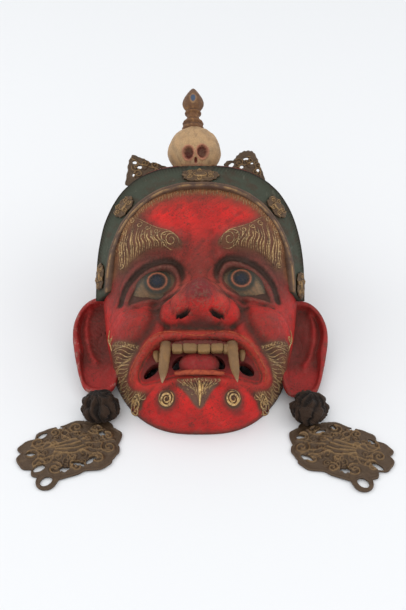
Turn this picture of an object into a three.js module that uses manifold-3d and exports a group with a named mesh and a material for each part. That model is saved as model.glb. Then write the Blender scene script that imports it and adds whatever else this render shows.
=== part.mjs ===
import * as THREE from 'three';
import { mergeVertices } from 'three/addons/utils/BufferGeometryUtils.js';
import Module from 'manifold-3d';

// Tibetan cham dance mask lying on its back rim. Millimetres, +Z up, chin toward -Y.
// Face plane directions: u across (+X), v from the chin up the face, w out of the face.

// ---- head shell ----
const facePitch = THREE.MathUtils.degToRad(29);
const rimMiddleY = 178;
const rimHalfLength = 174;
const rimHalfWidth = 129;
const rimFlare = 0.15;
const rimSquareness = 2.8;
const headRise = 55;
const headSlope = 0.554;
const headFalloff = 3.5;
const wallThickness = 10;
const fitGap = 0.4;
const headCells = 35;

// ---- diadem band ----
const bandFootV = 190;
const bandOuterHalfWidth = 138;
const bandOuterHeight = 167;
const bandOuterSquareness = 2.8;
const bandInnerHalfWidth = 119;
const bandInnerHeight = 130;
const bandInnerSquareness = 2.2;
const bandRaise = 7;

// ---- face ----
const eyeLeftU = -54;
const eyeLeftV = 189;
const eyeRightU = 52;
const eyeRightV = 193;
const eyeballRadius = 27;
const noseHeight = 44;
const mouthHalfWidth = 86;
const mouthFloor = 47;
const teethCount = 6;
const fangLength = 64;
const fangRadius = 8;
const rightEarDrop = 5;

// ---- trappings ----
const skullRadius = 36;
const skullV = 389;
const skullW = 15;
const finialU = -10;
const finialHeight = 68;
const plateThickness = 2.6;
const ornamentLength = 138;
const ornamentWidth = 84;
const knotSize = 23;

// ---- placing the whole in its frame ----
const frameShiftX = -6.45;
const frameShiftY = -175.3;

const wasm = await Module();
wasm.setup();

const faceNormal = new THREE.Vector3(0, -Math.sin(facePitch), Math.cos(facePitch));
const faceToWorld = new THREE.Matrix4().makeRotationX(facePitch);

function signedPower(value, power) {
  return Math.sign(value) * Math.pow(Math.abs(value), power);
}

function smoothStep(low, high, value) {
  const t = Math.min(1, Math.max(0, (value - low) / (high - low)));
  return t * t * (3 - 2 * t);
}

function bump(u, v, middleU, middleV, spreadU, spreadV) {
  const a = (u - middleU) / spreadU;
  const b = (v - middleV) / spreadV;
  return Math.exp(-(a * a + b * b));
}

// Turns a three.js geometry into a manifold solid.
function solidOf(geometry) {
  const bare = geometry.clone();
  bare.deleteAttribute('normal');
  bare.deleteAttribute('uv');
  const merged = mergeVertices(bare.index ? bare.toNonIndexed() : bare, 1e-3);
  const vertProperties = new Float32Array(merged.attributes.position.array);
  const triVerts = new Uint32Array(merged.index.array);
  return new wasm.Manifold(new wasm.Mesh({ numProp: 3, vertProperties, triVerts }));
}

function geometryOf(solid) {
  const mesh = solid.getMesh();
  const geometry = new THREE.BufferGeometry();
  const positions = new Float32Array(mesh.numVert * 3);
  for (let i = 0; i < mesh.numVert; i += 1) {
    positions[i * 3] = mesh.vertProperties[i * mesh.numProp];
    positions[i * 3 + 1] = mesh.vertProperties[i * mesh.numProp + 1];
    positions[i * 3 + 2] = mesh.vertProperties[i * mesh.numProp + 2];
  }
  geometry.setAttribute('position', new THREE.BufferAttribute(positions, 3));
  geometry.setIndex(new THREE.BufferAttribute(new Uint32Array(mesh.triVerts), 1));
  return geometry;
}

// The falloff profile of the head, spaced evenly along its length.
const profileSteps = 400;
const profileRuns = [0];
for (let i = 1; i <= profileSteps; i += 1) {
  const before = (i - 1) / profileSteps;
  const here = i / profileSteps;
  const dropBefore = Math.pow(1 - Math.pow(before, headFalloff), 1 / headFalloff);
  const dropHere = Math.pow(1 - Math.pow(here, headFalloff), 1 / headFalloff);
  profileRuns.push(profileRuns[i - 1] + Math.hypot(here - before, dropHere - dropBefore));
}

function radiusAtRun(fraction) {
  const target = fraction * profileRuns[profileSteps];
  let i = 1;
  while (i < profileSteps && profileRuns[i] < target) {
    i += 1;
  }
  const share = (target - profileRuns[i - 1]) / (profileRuns[i] - profileRuns[i - 1]);
  return Math.min(1, (i - 1 + share) / profileSteps);
}

// Point of the plain head form for a direction and a fraction of the way to the rim.
function headPoint(turn, fraction, inset) {
  const radius = radiusAtRun(fraction);
  const drop = Math.pow(Math.max(0, 1 - Math.pow(radius, headFalloff)), 1 / headFalloff);
  const power = 2 / rimSquareness;
  const rimY = (rimHalfLength - inset) * signedPower(Math.sin(turn), power);
  const halfWidth = rimHalfWidth - inset + rimFlare * rimY;
  const rimX = halfWidth * signedPower(Math.cos(turn), power);
  const x = rimX * radius;
  const y = rimMiddleY + rimY * radius;
  const z = (headRise + headSlope * y - inset * 1.15) * drop;
  return new THREE.Vector3(x, y, z);
}

// Upper and lower edges of the mouth.
function mouthTop(u) {
  const across = Math.abs(u);
  if (across < 40) {
    return 107 + 7.5 * Math.pow(across / 40, 1.6);
  }
  return 114.5 - 45 * Math.pow(Math.min(1, (across - 40) / 50), 1.5);
}

function mouthBottom(u) {
  const across = Math.abs(u);
  return 67 - 9 * smoothStep(30, 76, across) + 10 * smoothStep(78, 90, across);
}

function swelling(u, v, middleU, middleV, radiusU, radiusV) {
  const away = Math.hypot((u - middleU) / radiusU, (v - middleV) / radiusV);
  return away < 1 ? Math.sqrt(1 - away * away) : 0;
}

// Height of the carved face above the plain head.
function carving(u, v) {
  let height = 0;
  height += 11 * bump(u, v, 0, 272, 80, 42);
  for (const [eyeU, eyeV] of [[eyeLeftU, eyeLeftV], [eyeRightU, eyeRightV]]) {
    const side = Math.sign(eyeU);
    height += 14 * bump(u, v, eyeU + side * 5, eyeV + 54 - 0.22 * side * (u - eyeU), 38, 14);
    height -= 13 * bump(u, v, eyeU, eyeV, 38, 24);
    height += 17 * swelling(u, v, eyeU, eyeV - 2, eyeballRadius * 1.15, eyeballRadius * 0.95);
    height += 20 * bump(u, v, side * 80, 128, 32, 28);
    height += 20 * swelling(u, v, side * 33, 138, 16, 15);
  }
  height += 15 * Math.exp(-Math.pow(u / 18, 2)) * smoothStep(110, 150, v) * (1 - smoothStep(195, 245, v));
  height += noseHeight * 0.45 * swelling(u, v, 0, 143, 27, 26);
  height += noseHeight * 0.4 * bump(u, v, 0, 146, 24, 20);
  height += 16 * bump(u, v, 0, 100, 66, 24);
  height += 15 * bump(u, v, 0, 33, 50, 24);
  const edge = Math.min(mouthTop(u) - v, v - mouthBottom(u));
  const across = Math.abs(u);
  height += 5 * smoothStep(-13, -5, edge) * (1 - smoothStep(86, 96, across));
  return height;
}

// Closed body from a square grid laid over the head, closed flat along the rim.
function headBody(cells, inset, carved, lowered) {
  const positions = [];
  const index = [];
  const across = cells + 1;
  for (let j = 0; j <= cells; j += 1) {
    for (let i = 0; i <= cells; i += 1) {
      const s = (2 * i) / cells - 1;
      const t = (2 * j) / cells - 1;
      const p = s * Math.sqrt(1 - (t * t) / 2);
      const q = t * Math.sqrt(1 - (s * s) / 2);
      const rim = i === 0 || j === 0 || i === cells || j === cells;
      const point = headPoint(Math.atan2(q, p), rim ? 1 : Math.min(1, Math.hypot(p, q)), inset);
      if (!rim) {
        const v = point.y * Math.cos(facePitch) + point.z * Math.sin(facePitch);
        const fade = smoothStep(4, 60, point.z);
        point.addScaledVector(faceNormal, carved * fade * carving(point.x, v));
      }
      positions.push(point.x, point.y, rim ? -lowered : point.z);
    }
  }
  for (let j = 0; j < cells; j += 1) {
    for (let i = 0; i < cells; i += 1) {
      const a = j * across + i;
      index.push(a, a + 1, a + across + 1, a, a + across + 1, a + across);
    }
  }
  const ring = [];
  for (let i = 0; i < cells; i += 1) {
    ring.push(i);
  }
  for (let j = 0; j < cells; j += 1) {
    ring.push(j * across + cells);
  }
  for (let i = cells; i > 0; i -= 1) {
    ring.push(cells * across + i);
  }
  for (let j = cells; j > 0; j -= 1) {
    ring.push(j * across);
  }
  positions.push(0, rimMiddleY, -lowered);
  const middle = positions.length / 3 - 1;
  for (let k = 0; k < ring.length; k += 1) {
    index.push(ring[(k + 1) % ring.length], ring[k], middle);
  }
  const geometry = new THREE.BufferGeometry();
  geometry.setAttribute('position', new THREE.BufferAttribute(new Float32Array(positions), 3));
  geometry.setIndex(index);
  return solidOf(geometry);
}

// Outer and inner edges of the diadem at one turn, in face directions.
function bandEdges(turn, extra) {
  const sine = Math.max(0, Math.sin(turn));
  const cosine = Math.cos(turn);
  const outerPower = 2 / bandOuterSquareness;
  const innerPower = 2 / bandInnerSquareness;
  const outer = new THREE.Vector3(
    (bandOuterHalfWidth + extra) * signedPower(cosine, outerPower),
    bandFootV - extra + (bandOuterHeight + 2 * extra) * Math.pow(sine, outerPower),
    -24 + 64 * Math.pow(sine, 0.8) + extra,
  );
  const inner = new THREE.Vector3(
    (bandInnerHalfWidth - extra) * signedPower(cosine, innerPower),
    bandFootV - extra + bandInnerHeight * Math.pow(sine, innerPower),
    8 + 45 * Math.pow(sine, 0.8) + extra,
  );
  return [outer, inner];
}

// The diadem: a bowed strip standing proud of the brow of the head.
function bandBody(stations, extra) {
  const positions = [];
  const index = [];
  for (let k = 0; k <= stations; k += 1) {
    const turn = (Math.PI * k) / stations;
    const sine = Math.sin(turn);
    const [outer, inner] = bandEdges(turn, extra);
    positions.push(outer.x, outer.y, outer.z);
    positions.push(inner.x, inner.y, inner.z);
    positions.push(inner.x * 0.985, inner.y - 4 * sine, inner.z - 16 - 2 * extra);
    positions.push(outer.x * 0.95, outer.y - 7 * sine, outer.z - 26 - 2 * extra);
  }
  for (let k = 0; k < stations; k += 1) {
    for (let c = 0; c < 4; c += 1) {
      const a = k * 4 + c;
      const b = k * 4 + ((c + 1) % 4);
      index.push(a, b + 4, b, a, a + 4, b + 4);
    }
  }
  const last = stations * 4;
  index.push(0, 1, 2, 0, 2, 3);
  index.push(last, last + 2, last + 1, last, last + 3, last + 2);
  const geometry = new THREE.BufferGeometry();
  geometry.setAttribute('position', new THREE.BufferAttribute(new Float32Array(positions), 3));
  geometry.setIndex(index);
  geometry.applyMatrix4(faceToWorld);
  return solidOf(geometry);
}

// A long-lobed ear with a scooped front.
function earShape(side, shrink) {
  const shape = new THREE.Shape();
  const steps = 22;
  for (let k = 0; k < steps; k += 1) {
    const turn = (2 * Math.PI * k) / steps;
    const lobe = 1 - 0.28 * smoothStep(0.1, 1, -Math.sin(turn));
    const u = 139 + (34 * lobe - shrink) * Math.cos(turn) - 4 * Math.sin(turn) * (1 - lobe);
    const v = 134 + (69 - shrink) * Math.sin(turn);
    if (k === 0) {
      shape.moveTo(side * u, v);
    } else {
      shape.lineTo(side * u, v);
    }
  }
  shape.closePath();
  return shape;
}

function earBody(side, grow) {
  const full = new THREE.ExtrudeGeometry(earShape(side, 3 - grow), {
    depth: 9 + 2 * grow, bevelEnabled: true, bevelThickness: 3, bevelSize: 3, bevelSegments: 1,
  });
  full.translate(0, 0, -grow);
  const scoop = new THREE.ExtrudeGeometry(earShape(side, 13), {
    depth: 20, bevelEnabled: true, bevelThickness: 4, bevelSize: 4, bevelSegments: 1,
  });
  scoop.translate(-side * 2, 6, 9);
  for (const geometry of [full, scoop]) {
    geometry.translate(0, side > 0 ? -rightEarDrop : 0, 0);
    const position = geometry.attributes.position;
    for (let i = 0; i < position.count; i += 1) {
      const v = position.getY(i);
      position.setZ(i, position.getZ(i) - 30 - 0.24 * (v - 66) + 0.18 * (139 - side * position.getX(i)));
    }
    geometry.applyMatrix4(faceToWorld);
  }
  return grow > 0 ? solidOf(full) : solidOf(full).subtract(solidOf(scoop));
}

function fangBody(u) {
  const profile = [new THREE.Vector2(0, 0), new THREE.Vector2(fangRadius * 0.9, 0)];
  profile.push(new THREE.Vector2(fangRadius * 0.75, fangLength * 0.6));
  profile.push(new THREE.Vector2(0, fangLength));
  const geometry = new THREE.LatheGeometry(profile, 10);
  geometry.rotateZ(Math.PI);
  geometry.translate(u, 118, 54);
  geometry.applyMatrix4(faceToWorld);
  return solidOf(geometry);
}

// The open mouth as a pocket, sunk to a floor above the wall.
function mouthPocket() {
  const shape = new THREE.Shape();
  const steps = 18;
  for (let k = 0; k <= steps; k += 1) {
    const u = mouthHalfWidth * ((2 * k) / steps - 1);
    if (k === 0) {
      shape.moveTo(u, mouthTop(u));
    } else {
      shape.lineTo(u, mouthTop(u));
    }
  }
  for (let k = steps - 1; k > 0; k -= 1) {
    const u = mouthHalfWidth * ((2 * k) / steps - 1);
    shape.lineTo(u, mouthBottom(u));
  }
  shape.closePath();
  const geometry = new THREE.ExtrudeGeometry(shape, { depth: 80, bevelEnabled: false });
  const position = geometry.attributes.position;
  for (let i = 0; i < position.count; i += 1) {
    const u = position.getX(i);
    const floor = mouthFloor - 16 * Math.pow(u / mouthHalfWidth, 2);
    position.setZ(i, position.getZ(i) + floor);
  }
  geometry.applyMatrix4(faceToWorld);
  return solidOf(geometry);
}

// The row of upper teeth, notched between each tooth.
function teethRow() {
  const shape = new THREE.Shape();
  shape.moveTo(-34, 112);
  for (let k = 0; k < teethCount; k += 1) {
    const start = -34 + (68 * k) / teethCount;
    const pitch = 68 / teethCount;
    shape.lineTo(start + pitch * 0.04, 97);
    shape.lineTo(start + pitch * 0.2, 89);
    shape.lineTo(start + pitch * 0.8, 89);
    shape.lineTo(start + pitch * 0.96, 97);
  }
  shape.lineTo(34, 112);
  shape.closePath();
  const geometry = new THREE.ExtrudeGeometry(shape, { depth: 9, bevelEnabled: false });
  geometry.translate(0, 0, 52);
  geometry.applyMatrix4(faceToWorld);
  return solidOf(geometry);
}

function tongueBody() {
  const geometry = new THREE.SphereGeometry(1, 12, 8);
  geometry.scale(15, 15, 13);
  geometry.translate(-1, 76, 46);
  geometry.applyMatrix4(faceToWorld);
  return solidOf(geometry);
}

// A straight opening through the wall, running along the face normal.
function mouthHole(u, v, halfWidth, halfHeight) {
  const geometry = new THREE.CylinderGeometry(1, 1, 70, 10);
  geometry.rotateX(Math.PI / 2);
  geometry.scale(halfWidth, halfHeight, 1);
  geometry.translate(u, v, 40);
  geometry.applyMatrix4(faceToWorld);
  return solidOf(geometry);
}

function nostril(u) {
  const geometry = new THREE.SphereGeometry(1, 10, 8);
  geometry.scale(8, 6, 14);
  geometry.rotateX(1.1);
  geometry.translate(u, 125, 76);
  geometry.applyMatrix4(faceToWorld);
  return solidOf(geometry);
}

const headRoom = headBody(headCells, -fitGap, 1, 1).add(bandBody(28, fitGap * 2));
const keepOut = headRoom.add(earBody(-1, fitGap)).add(earBody(1, fitGap));

function maskBody() {
  let body = headBody(headCells, 0, 1, 0);
  body = body.add(bandBody(28, 0));
  body = body.add(earBody(-1, 0));
  body = body.add(earBody(1, 0));
  body = body.subtract(mouthPocket());
  body = body.add(teethRow()).add(tongueBody());
  body = body.add(fangBody(-43)).add(fangBody(41));
  body = body.subtract(headBody(18, wallThickness, 0, 1));
  body = body.subtract(mouthHole(-25, 80, 9, 9));
  body = body.subtract(mouthHole(23, 81, 8, 9));
  body = body.subtract(mouthHole(-60, 74, 9, 9));
  body = body.subtract(mouthHole(58, 76, 10, 8));
  body = body.subtract(nostril(-20));
  body = body.subtract(nostril(20));
  const floor = new THREE.BoxGeometry(700, 900, 200);
  floor.translate(0, 150, -100);
  return body.subtract(solidOf(floor));
}

// Scrolled openwork outline with rows of round openings, cut from sheet brass.
function openworkPlate(halfLength, halfWidth, lobes, openings, thickness) {
  const shape = new THREE.Shape();
  const steps = lobes * 5;
  for (let k = 0; k < steps; k += 1) {
    const turn = (2 * Math.PI * k) / steps;
    const swell = 1 - 0.09 * (1 - Math.abs(Math.cos((turn * lobes) / 2)));
    const x = halfLength * swell * signedPower(Math.cos(turn), 0.9);
    const y = halfWidth * swell * signedPower(Math.sin(turn), 0.9);
    if (k === 0) {
      shape.moveTo(x, y);
    } else {
      shape.lineTo(x, y);
    }
  }
  shape.closePath();
  for (let k = 0; k < openings; k += 1) {
    const turn = (2 * Math.PI * (k + 0.5)) / openings;
    const hole = new THREE.Path();
    const x = halfLength * 0.66 * Math.cos(turn);
    const y = halfWidth * 0.66 * Math.sin(turn);
    hole.absellipse(x, y, halfLength * 0.1, halfWidth * 0.13, 0, 2 * Math.PI, true, 0);
    shape.holes.push(hole);
  }
  return new THREE.ExtrudeGeometry(shape, { depth: thickness, bevelEnabled: false, curveSegments: 3 });
}

function domeBody(radiusX, radiusY, height, base) {
  const profile = [new THREE.Vector2(0, 0)];
  for (let k = 0; k <= 4; k += 1) {
    const turn = (Math.PI / 2) * (k / 4);
    profile.push(new THREE.Vector2(k === 4 ? 0 : Math.cos(turn), Math.sin(turn)));
  }
  const geometry = new THREE.LatheGeometry(profile, 14);
  geometry.rotateX(Math.PI / 2);
  geometry.scale(radiusX, radiusY, height);
  geometry.translate(0, 0, base);
  return geometry;
}

function earOrnament(middleX, middleY, turn) {
  const plate = openworkPlate(ornamentLength / 2, ornamentWidth / 2, 14, 12, plateThickness);
  const boss = domeBody(25, 19, 11, 0.8);
  for (const geometry of [plate, boss]) {
    geometry.rotateZ(turn);
    geometry.translate(middleX, middleY, 0);
  }
  return solidOf(plate).add(solidOf(boss));
}

function crownPiece(u, v, turn, halfLength, halfHeight) {
  const plate = openworkPlate(halfLength, halfHeight, 8, 6, plateThickness);
  plate.rotateZ(turn);
  plate.translate(u, v, 9);
  plate.applyMatrix4(faceToWorld);
  return solidOf(plate).subtract(keepOut);
}

// A small embossed plaque seated on the diadem, long side along the strip.
function plaque(turn, halfLength, halfWidth, outward) {
  const dome = domeBody(halfLength, halfWidth, 8, -2);
  const [outer, inner] = bandEdges(turn, 0);
  const [outerNext, innerNext] = bandEdges(turn - 0.04, 0);
  const middle = outer.clone().add(inner).multiplyScalar(0.5);
  const along = outerNext.add(innerNext).multiplyScalar(0.5).sub(middle).normalize();
  const out = along.clone().cross(outer.sub(inner)).normalize();
  const side = out.clone().cross(along);
  middle.addScaledVector(side, -outward * Math.sign(side.dot(inner.clone().sub(outer))));
  const seat = new THREE.Matrix4().makeBasis(along, side, out).setPosition(middle);
  dome.applyMatrix4(seat);
  dome.applyMatrix4(faceToWorld);
  return solidOf(dome).subtract(keepOut);
}

function skullBody(grow) {
  const geometry = new THREE.SphereGeometry(1, 16, 12);
  const position = geometry.attributes.position;
  for (let i = 0; i < position.count; i += 1) {
    const x = position.getX(i);
    const y = position.getY(i);
    const z = position.getZ(i);
    const jaw = 1 - 0.24 * smoothStep(0, 1, -y);
    const socketL = bump(x, y, -0.28, 0.02, 0.2, 0.2);
    const socketR = bump(x, y, 0.26, 0.05, 0.2, 0.2);
    const dent = z > 0 ? 0.14 * (socketL + socketR) : 0;
    position.setXYZ(i, x * jaw, y * 1.05, (z - dent) * 0.92 * jaw);
  }
  geometry.scale(skullRadius + grow, skullRadius + grow, skullRadius + grow);
  geometry.translate(finialU + 2, skullV, skullW);
  geometry.applyMatrix4(faceToWorld);
  return solidOf(geometry);
}

function finialBody() {
  const widths = [13, 15.5, 16.5, 14, 15.5, 11.5, 9, 10, 12.5, 13.2, 12, 8.5, 4.5];
  const profile = [new THREE.Vector2(0, 0)];
  for (let k = 0; k < widths.length; k += 1) {
    profile.push(new THREE.Vector2(widths[k], (finialHeight * k) / widths.length));
  }
  profile.push(new THREE.Vector2(0, finialHeight));
  const geometry = new THREE.LatheGeometry(profile, 12);
  geometry.translate(finialU, skullV + skullRadius * 1.05 - 4, skullW);
  geometry.applyMatrix4(faceToWorld);
  return solidOf(geometry).subtract(skullBody(fitGap));
}

// A wad of tied silk.
function knotBody(x, y, turn) {
  const geometry = new THREE.SphereGeometry(1, 14, 9);
  const position = geometry.attributes.position;
  for (let i = 0; i < position.count; i += 1) {
    const a = Math.atan2(position.getY(i), position.getX(i));
    const fold = 1 + 0.07 * Math.sin(5 * a + turn) * (1 - Math.abs(position.getZ(i)));
    position.setX(i, position.getX(i) * fold);
    position.setY(i, position.getY(i) * fold);
  }
  geometry.scale(knotSize, knotSize * 0.86, knotSize * 0.6);
  geometry.rotateZ(turn);
  geometry.translate(x, y, knotSize * 0.6 + 0.2);
  return solidOf(geometry);
}

const bare = maskBody();

function named(name, solid, colour, roughness, metalness) {
  const geometry = geometryOf(solid);
  geometry.translate(frameShiftX, frameShiftY, 0);
  geometry.computeVertexNormals();
  const material = new THREE.MeshStandardMaterial({ color: colour, roughness, metalness });
  const mesh = new THREE.Mesh(geometry, material);
  mesh.name = name;
  return mesh;
}

const part = new THREE.Group();
part.name = 'cham_mask';
part.add(named('mask_body', bare, 0xa83232, 0.6, 0));
part.add(named('skull', skullBody(0).subtract(keepOut), 0xc9b48c, 0.6, 0));
part.add(named('finial', finialBody(), 0x96683c, 0.45, 0.3));
part.add(named('crown_left', crownPiece(-72, 369, 0.12, 31, 24), 0x5a5040, 0.45, 0.8));
part.add(named('crown_right', crownPiece(64, 373, -0.35, 31, 26), 0x5a5040, 0.45, 0.8));
part.add(named('plaque_top', plaque(Math.PI * 0.5, 25, 11.5, 0), 0x8a6a3c, 0.45, 0.8));
part.add(named('plaque_upper_left', plaque(Math.PI * 0.76, 17, 13, 0), 0x8a6a3c, 0.45, 0.8));
part.add(named('plaque_upper_right', plaque(Math.PI * 0.24, 17, 13, 0), 0x8a6a3c, 0.45, 0.8));
part.add(named('plaque_end_left', plaque(Math.PI * 0.968, 18, 11, 4), 0x8a6a3c, 0.45, 0.8));
part.add(named('plaque_end_right', plaque(Math.PI * 0.016, 18, 11, 4), 0x8a6a3c, 0.45, 0.8));
part.add(named('knot_left', knotBody(-126, 38, 0.4).subtract(bare), 0x2d1e16, 0.9, 0));
part.add(named('knot_right', knotBody(137, 36, 1.3).subtract(bare), 0x2d1e16, 0.9, 0));
part.add(named('ornament_left', earOrnament(-157, -22, 0.32), 0x5f5041, 0.45, 0.8));
part.add(named('ornament_right', earOrnament(170, -24, -0.36), 0x5f5041, 0.45, 0.8));

export default part;
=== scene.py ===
"""Cham dance mask lying on its back rim: carved, painted and gilt wood with brass and silk trappings.

Lengths inside the classes are millimetres in face directions: u across, v from the chin up the face and
w out of the face. They are turned into metres of the row frame when a mesh is finished.
"""

import logging
import math
from dataclasses import dataclass, field
from enum import Enum
from typing import Callable, Iterable, Optional, Sequence

import bmesh
import bpy
import numpy as np
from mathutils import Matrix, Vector


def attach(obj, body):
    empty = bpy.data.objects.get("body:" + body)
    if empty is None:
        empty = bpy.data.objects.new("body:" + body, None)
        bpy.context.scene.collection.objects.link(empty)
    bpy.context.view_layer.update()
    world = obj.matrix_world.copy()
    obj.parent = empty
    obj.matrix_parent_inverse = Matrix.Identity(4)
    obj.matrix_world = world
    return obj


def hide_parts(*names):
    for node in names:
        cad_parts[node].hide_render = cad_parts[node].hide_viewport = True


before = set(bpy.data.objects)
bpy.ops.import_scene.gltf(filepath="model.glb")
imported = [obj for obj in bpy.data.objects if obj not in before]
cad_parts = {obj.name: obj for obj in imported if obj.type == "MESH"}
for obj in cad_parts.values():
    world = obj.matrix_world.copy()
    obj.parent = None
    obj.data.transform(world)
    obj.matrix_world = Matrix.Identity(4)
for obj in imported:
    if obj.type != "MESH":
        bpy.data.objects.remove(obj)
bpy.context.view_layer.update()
LOG = logging.getLogger("cham_mask")

PITCH = math.radians(29.0)
SHIFT = np.array((-6.45, -175.3, 0.0))
MM = 0.001
Colour = tuple[float, float, float]
Rows = np.ndarray
Finish = bpy.types.Material


class Side(Enum):
    """Which side of the face a piece is on."""

    LEFT = -1
    RIGHT = 1

    @property
    def word(self) -> str:
        """The side as a word for piece names."""
        return self.name.lower()


# ---------------------------------------------------------------- numbers


def ease(low: float, high: float, value: Rows) -> Rows:
    """Smooth step from 0 at low to 1 at high.

    Args:
        low: value where the step starts.
        high: value where it ends.
        value: numbers to step.

    Returns:
        The stepped numbers.
    """
    t = np.clip((value - low) / (high - low), 0.0, 1.0)
    return t * t * (3.0 - 2.0 * t)


def swell(u: Rows, v: Rows, at: Sequence[float], spread: Sequence[float]) -> Rows:
    """A soft round rise of height 1.

    Args:
        u: places across.
        v: places up the face.
        at: middle of the rise.
        spread: its reach across and up.

    Returns:
        Heights.
    """
    return np.exp(-(((u - at[0]) / spread[0]) ** 2 + ((v - at[1]) / spread[1]) ** 2))


def knob(u: Rows, v: Rows, at: Sequence[float], radius: Sequence[float]) -> Rows:
    """A half-ball rise of height 1 with a clear edge.

    Args:
        u: places across.
        v: places up the face.
        at: middle of the knob.
        radius: its radius across and up.

    Returns:
        Heights.
    """
    away = ((u - at[0]) / radius[0]) ** 2 + ((v - at[1]) / radius[1]) ** 2
    return np.sqrt(np.clip(1.0 - away, 0.0, None))


def power(value: Rows, exponent: float) -> Rows:
    """A power that keeps the sign of its base."""
    return np.sign(value) * np.abs(value) ** exponent


def round_line(points: Sequence[Sequence[float]], closed: bool = False, steps: int = 8) -> Rows:
    """A smooth line through points.

    Args:
        points: the places it goes through, in two or three directions.
        closed: whether it runs back to its start.
        steps: how many pieces between two points.

    Returns:
        The places along the line.
    """
    p = np.asarray(points, dtype=float)
    if closed:
        p = np.vstack((p[-1:], p, p[:2]))
    else:
        p = np.vstack((2 * p[:1] - p[1:2], p, 2 * p[-1:] - p[-2:-1]))
    t = np.linspace(0.0, 1.0, steps, endpoint=False)[:, None]
    rows = []
    for a, b, c, d in zip(p[:-3], p[1:-2], p[2:-1], p[3:]):
        rows.append(0.5 * (2 * b + (c - a) * t + (2 * a - 5 * b + 4 * c - d) * t**2
            + (3 * b - a - 3 * c + d) * t**3))
    line = np.vstack(rows)
    return line if closed else np.vstack((line, p[-2:-1]))


def even_line(line: Rows, count: int) -> Rows:
    """Places spaced evenly along a line.

    Args:
        line: the line.
        count: how many places.

    Returns:
        The evenly spaced places.
    """
    runs = np.concatenate(([0.0], np.cumsum(np.linalg.norm(np.diff(line, axis=0), axis=1))))
    marks = np.linspace(0.0, runs[-1], count)
    return np.stack([np.interp(marks, runs, line[:, k]) for k in range(line.shape[1])], axis=1)


def depth_inside(u: Rows, v: Rows, loop: Rows) -> Rows:
    """Distance to a closed line, above zero inside it.

    Args:
        u: places across.
        v: places up the face.
        loop: the closed line.

    Returns:
        Signed distances.
    """
    near = np.full(u.shape, 1e9)
    within = np.zeros(u.shape, dtype=bool)
    for (ax, ay), (bx, by) in zip(loop, np.roll(loop, -1, axis=0)):
        dx, dy = bx - ax, by - ay
        t = np.clip(((u - ax) * dx + (v - ay) * dy) / (dx * dx + dy * dy + 1e-9), 0.0, 1.0)
        near = np.minimum(near, (u - ax - t * dx) ** 2 + (v - ay - t * dy) ** 2)
        within ^= ((ay > v) != (by > v)) & (u < ax + (v - ay) * dx / (dy + 1e-12))
    return np.where(within, 1.0, -1.0) * np.sqrt(near)


def near_line(u: Rows, v: Rows, line: Rows) -> Rows:
    """Distance to an open line.

    Args:
        u: places across.
        v: places up the face.
        line: the line.

    Returns:
        Distances.
    """
    near = np.full(u.shape, 1e9)
    for (ax, ay), (bx, by) in zip(line[:-1], line[1:]):
        dx, dy = bx - ax, by - ay
        t = np.clip(((u - ax) * dx + (v - ay) * dy) / (dx * dx + dy * dy + 1e-9), 0.0, 1.0)
        near = np.minimum(near, (u - ax - t * dx) ** 2 + (v - ay - t * dy) ** 2)
    return np.sqrt(near)


def rough(p: Rows, size: float, seed: float = 0.0) -> Rows:
    """A cheap smooth unevenness between about -1 and 1.

    Args:
        p: places, one row each.
        size: length of one wave.
        seed: picks another pattern.

    Returns:
        One number a place.
    """
    q = p * (2.0 * math.pi / size)
    total = np.zeros(len(p))
    for k in range(5):
        a = seed * 1.7 + k * 2.399
        aim = np.array((math.cos(a), math.sin(a * 1.3 + 0.5), math.sin(a + 1.1) * 0.8))[: p.shape[1]]
        total += np.sin(q @ (aim * (1.0 + 0.37 * k)) + seed + k * 1.9 + 0.8
            * np.sin(q[:, 0] * 0.6 + k + seed))
    return total / 3.4


def to_frame(place: Rows) -> Rows:
    """Face directions in millimetres to metres of the row frame.

    Args:
        place: rows of u, v, w.

    Returns:
        Rows of x, y, z.
    """
    u, v, w = place[:, 0], place[:, 1], place[:, 2]
    y = v * math.cos(PITCH) - w * math.sin(PITCH)
    z = v * math.sin(PITCH) + w * math.cos(PITCH)
    return (np.stack((u, y, z), axis=1) + SHIFT) * MM


def floor_frame(place: Rows) -> Rows:
    """Millimetres over the floor to metres of the row frame."""
    return (place + SHIFT) * MM


# ---------------------------------------------------------------- meshes


def cells(bm: bmesh.types.BMesh, across: int, along: int) -> tuple[list[bmesh.types.BMVert], Rows]:
    """A grid of cells to be shaped, with each corner's place between 0 and 1.

    Args:
        bm: mesh that gets the grid.
        across: cells across.
        along: cells along.

    Returns:
        The new corners, and rows of (across, along) shares.
    """
    made = bmesh.ops.create_grid(bm, x_segments=across, y_segments=along, size=1.0)["verts"]
    flat = np.array([vert.co[:2] for vert in made])
    return made, (flat - flat.min(axis=0)) / (flat.max(axis=0) - flat.min(axis=0))


def place(verts: Iterable[bmesh.types.BMVert], spots: Rows) -> None:
    """Moves each corner to its spot."""
    for vert, spot in zip(verts, spots.tolist()):
        vert.co = spot


def tidy(bm: bmesh.types.BMesh, reach: float = 2e-6) -> None:
    """Merges doubled corners, closes what is open and turns the faces outward."""
    bmesh.ops.remove_doubles(bm, verts=bm.verts, dist=reach)
    bmesh.ops.dissolve_degenerate(bm, edges=bm.edges, dist=1e-7)
    open_edges = [edge for edge in bm.edges if edge.is_boundary]
    if open_edges:
        bmesh.ops.holes_fill(bm, edges=open_edges, sides=0)
    bmesh.ops.recalc_face_normals(bm, faces=bm.faces)


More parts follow.
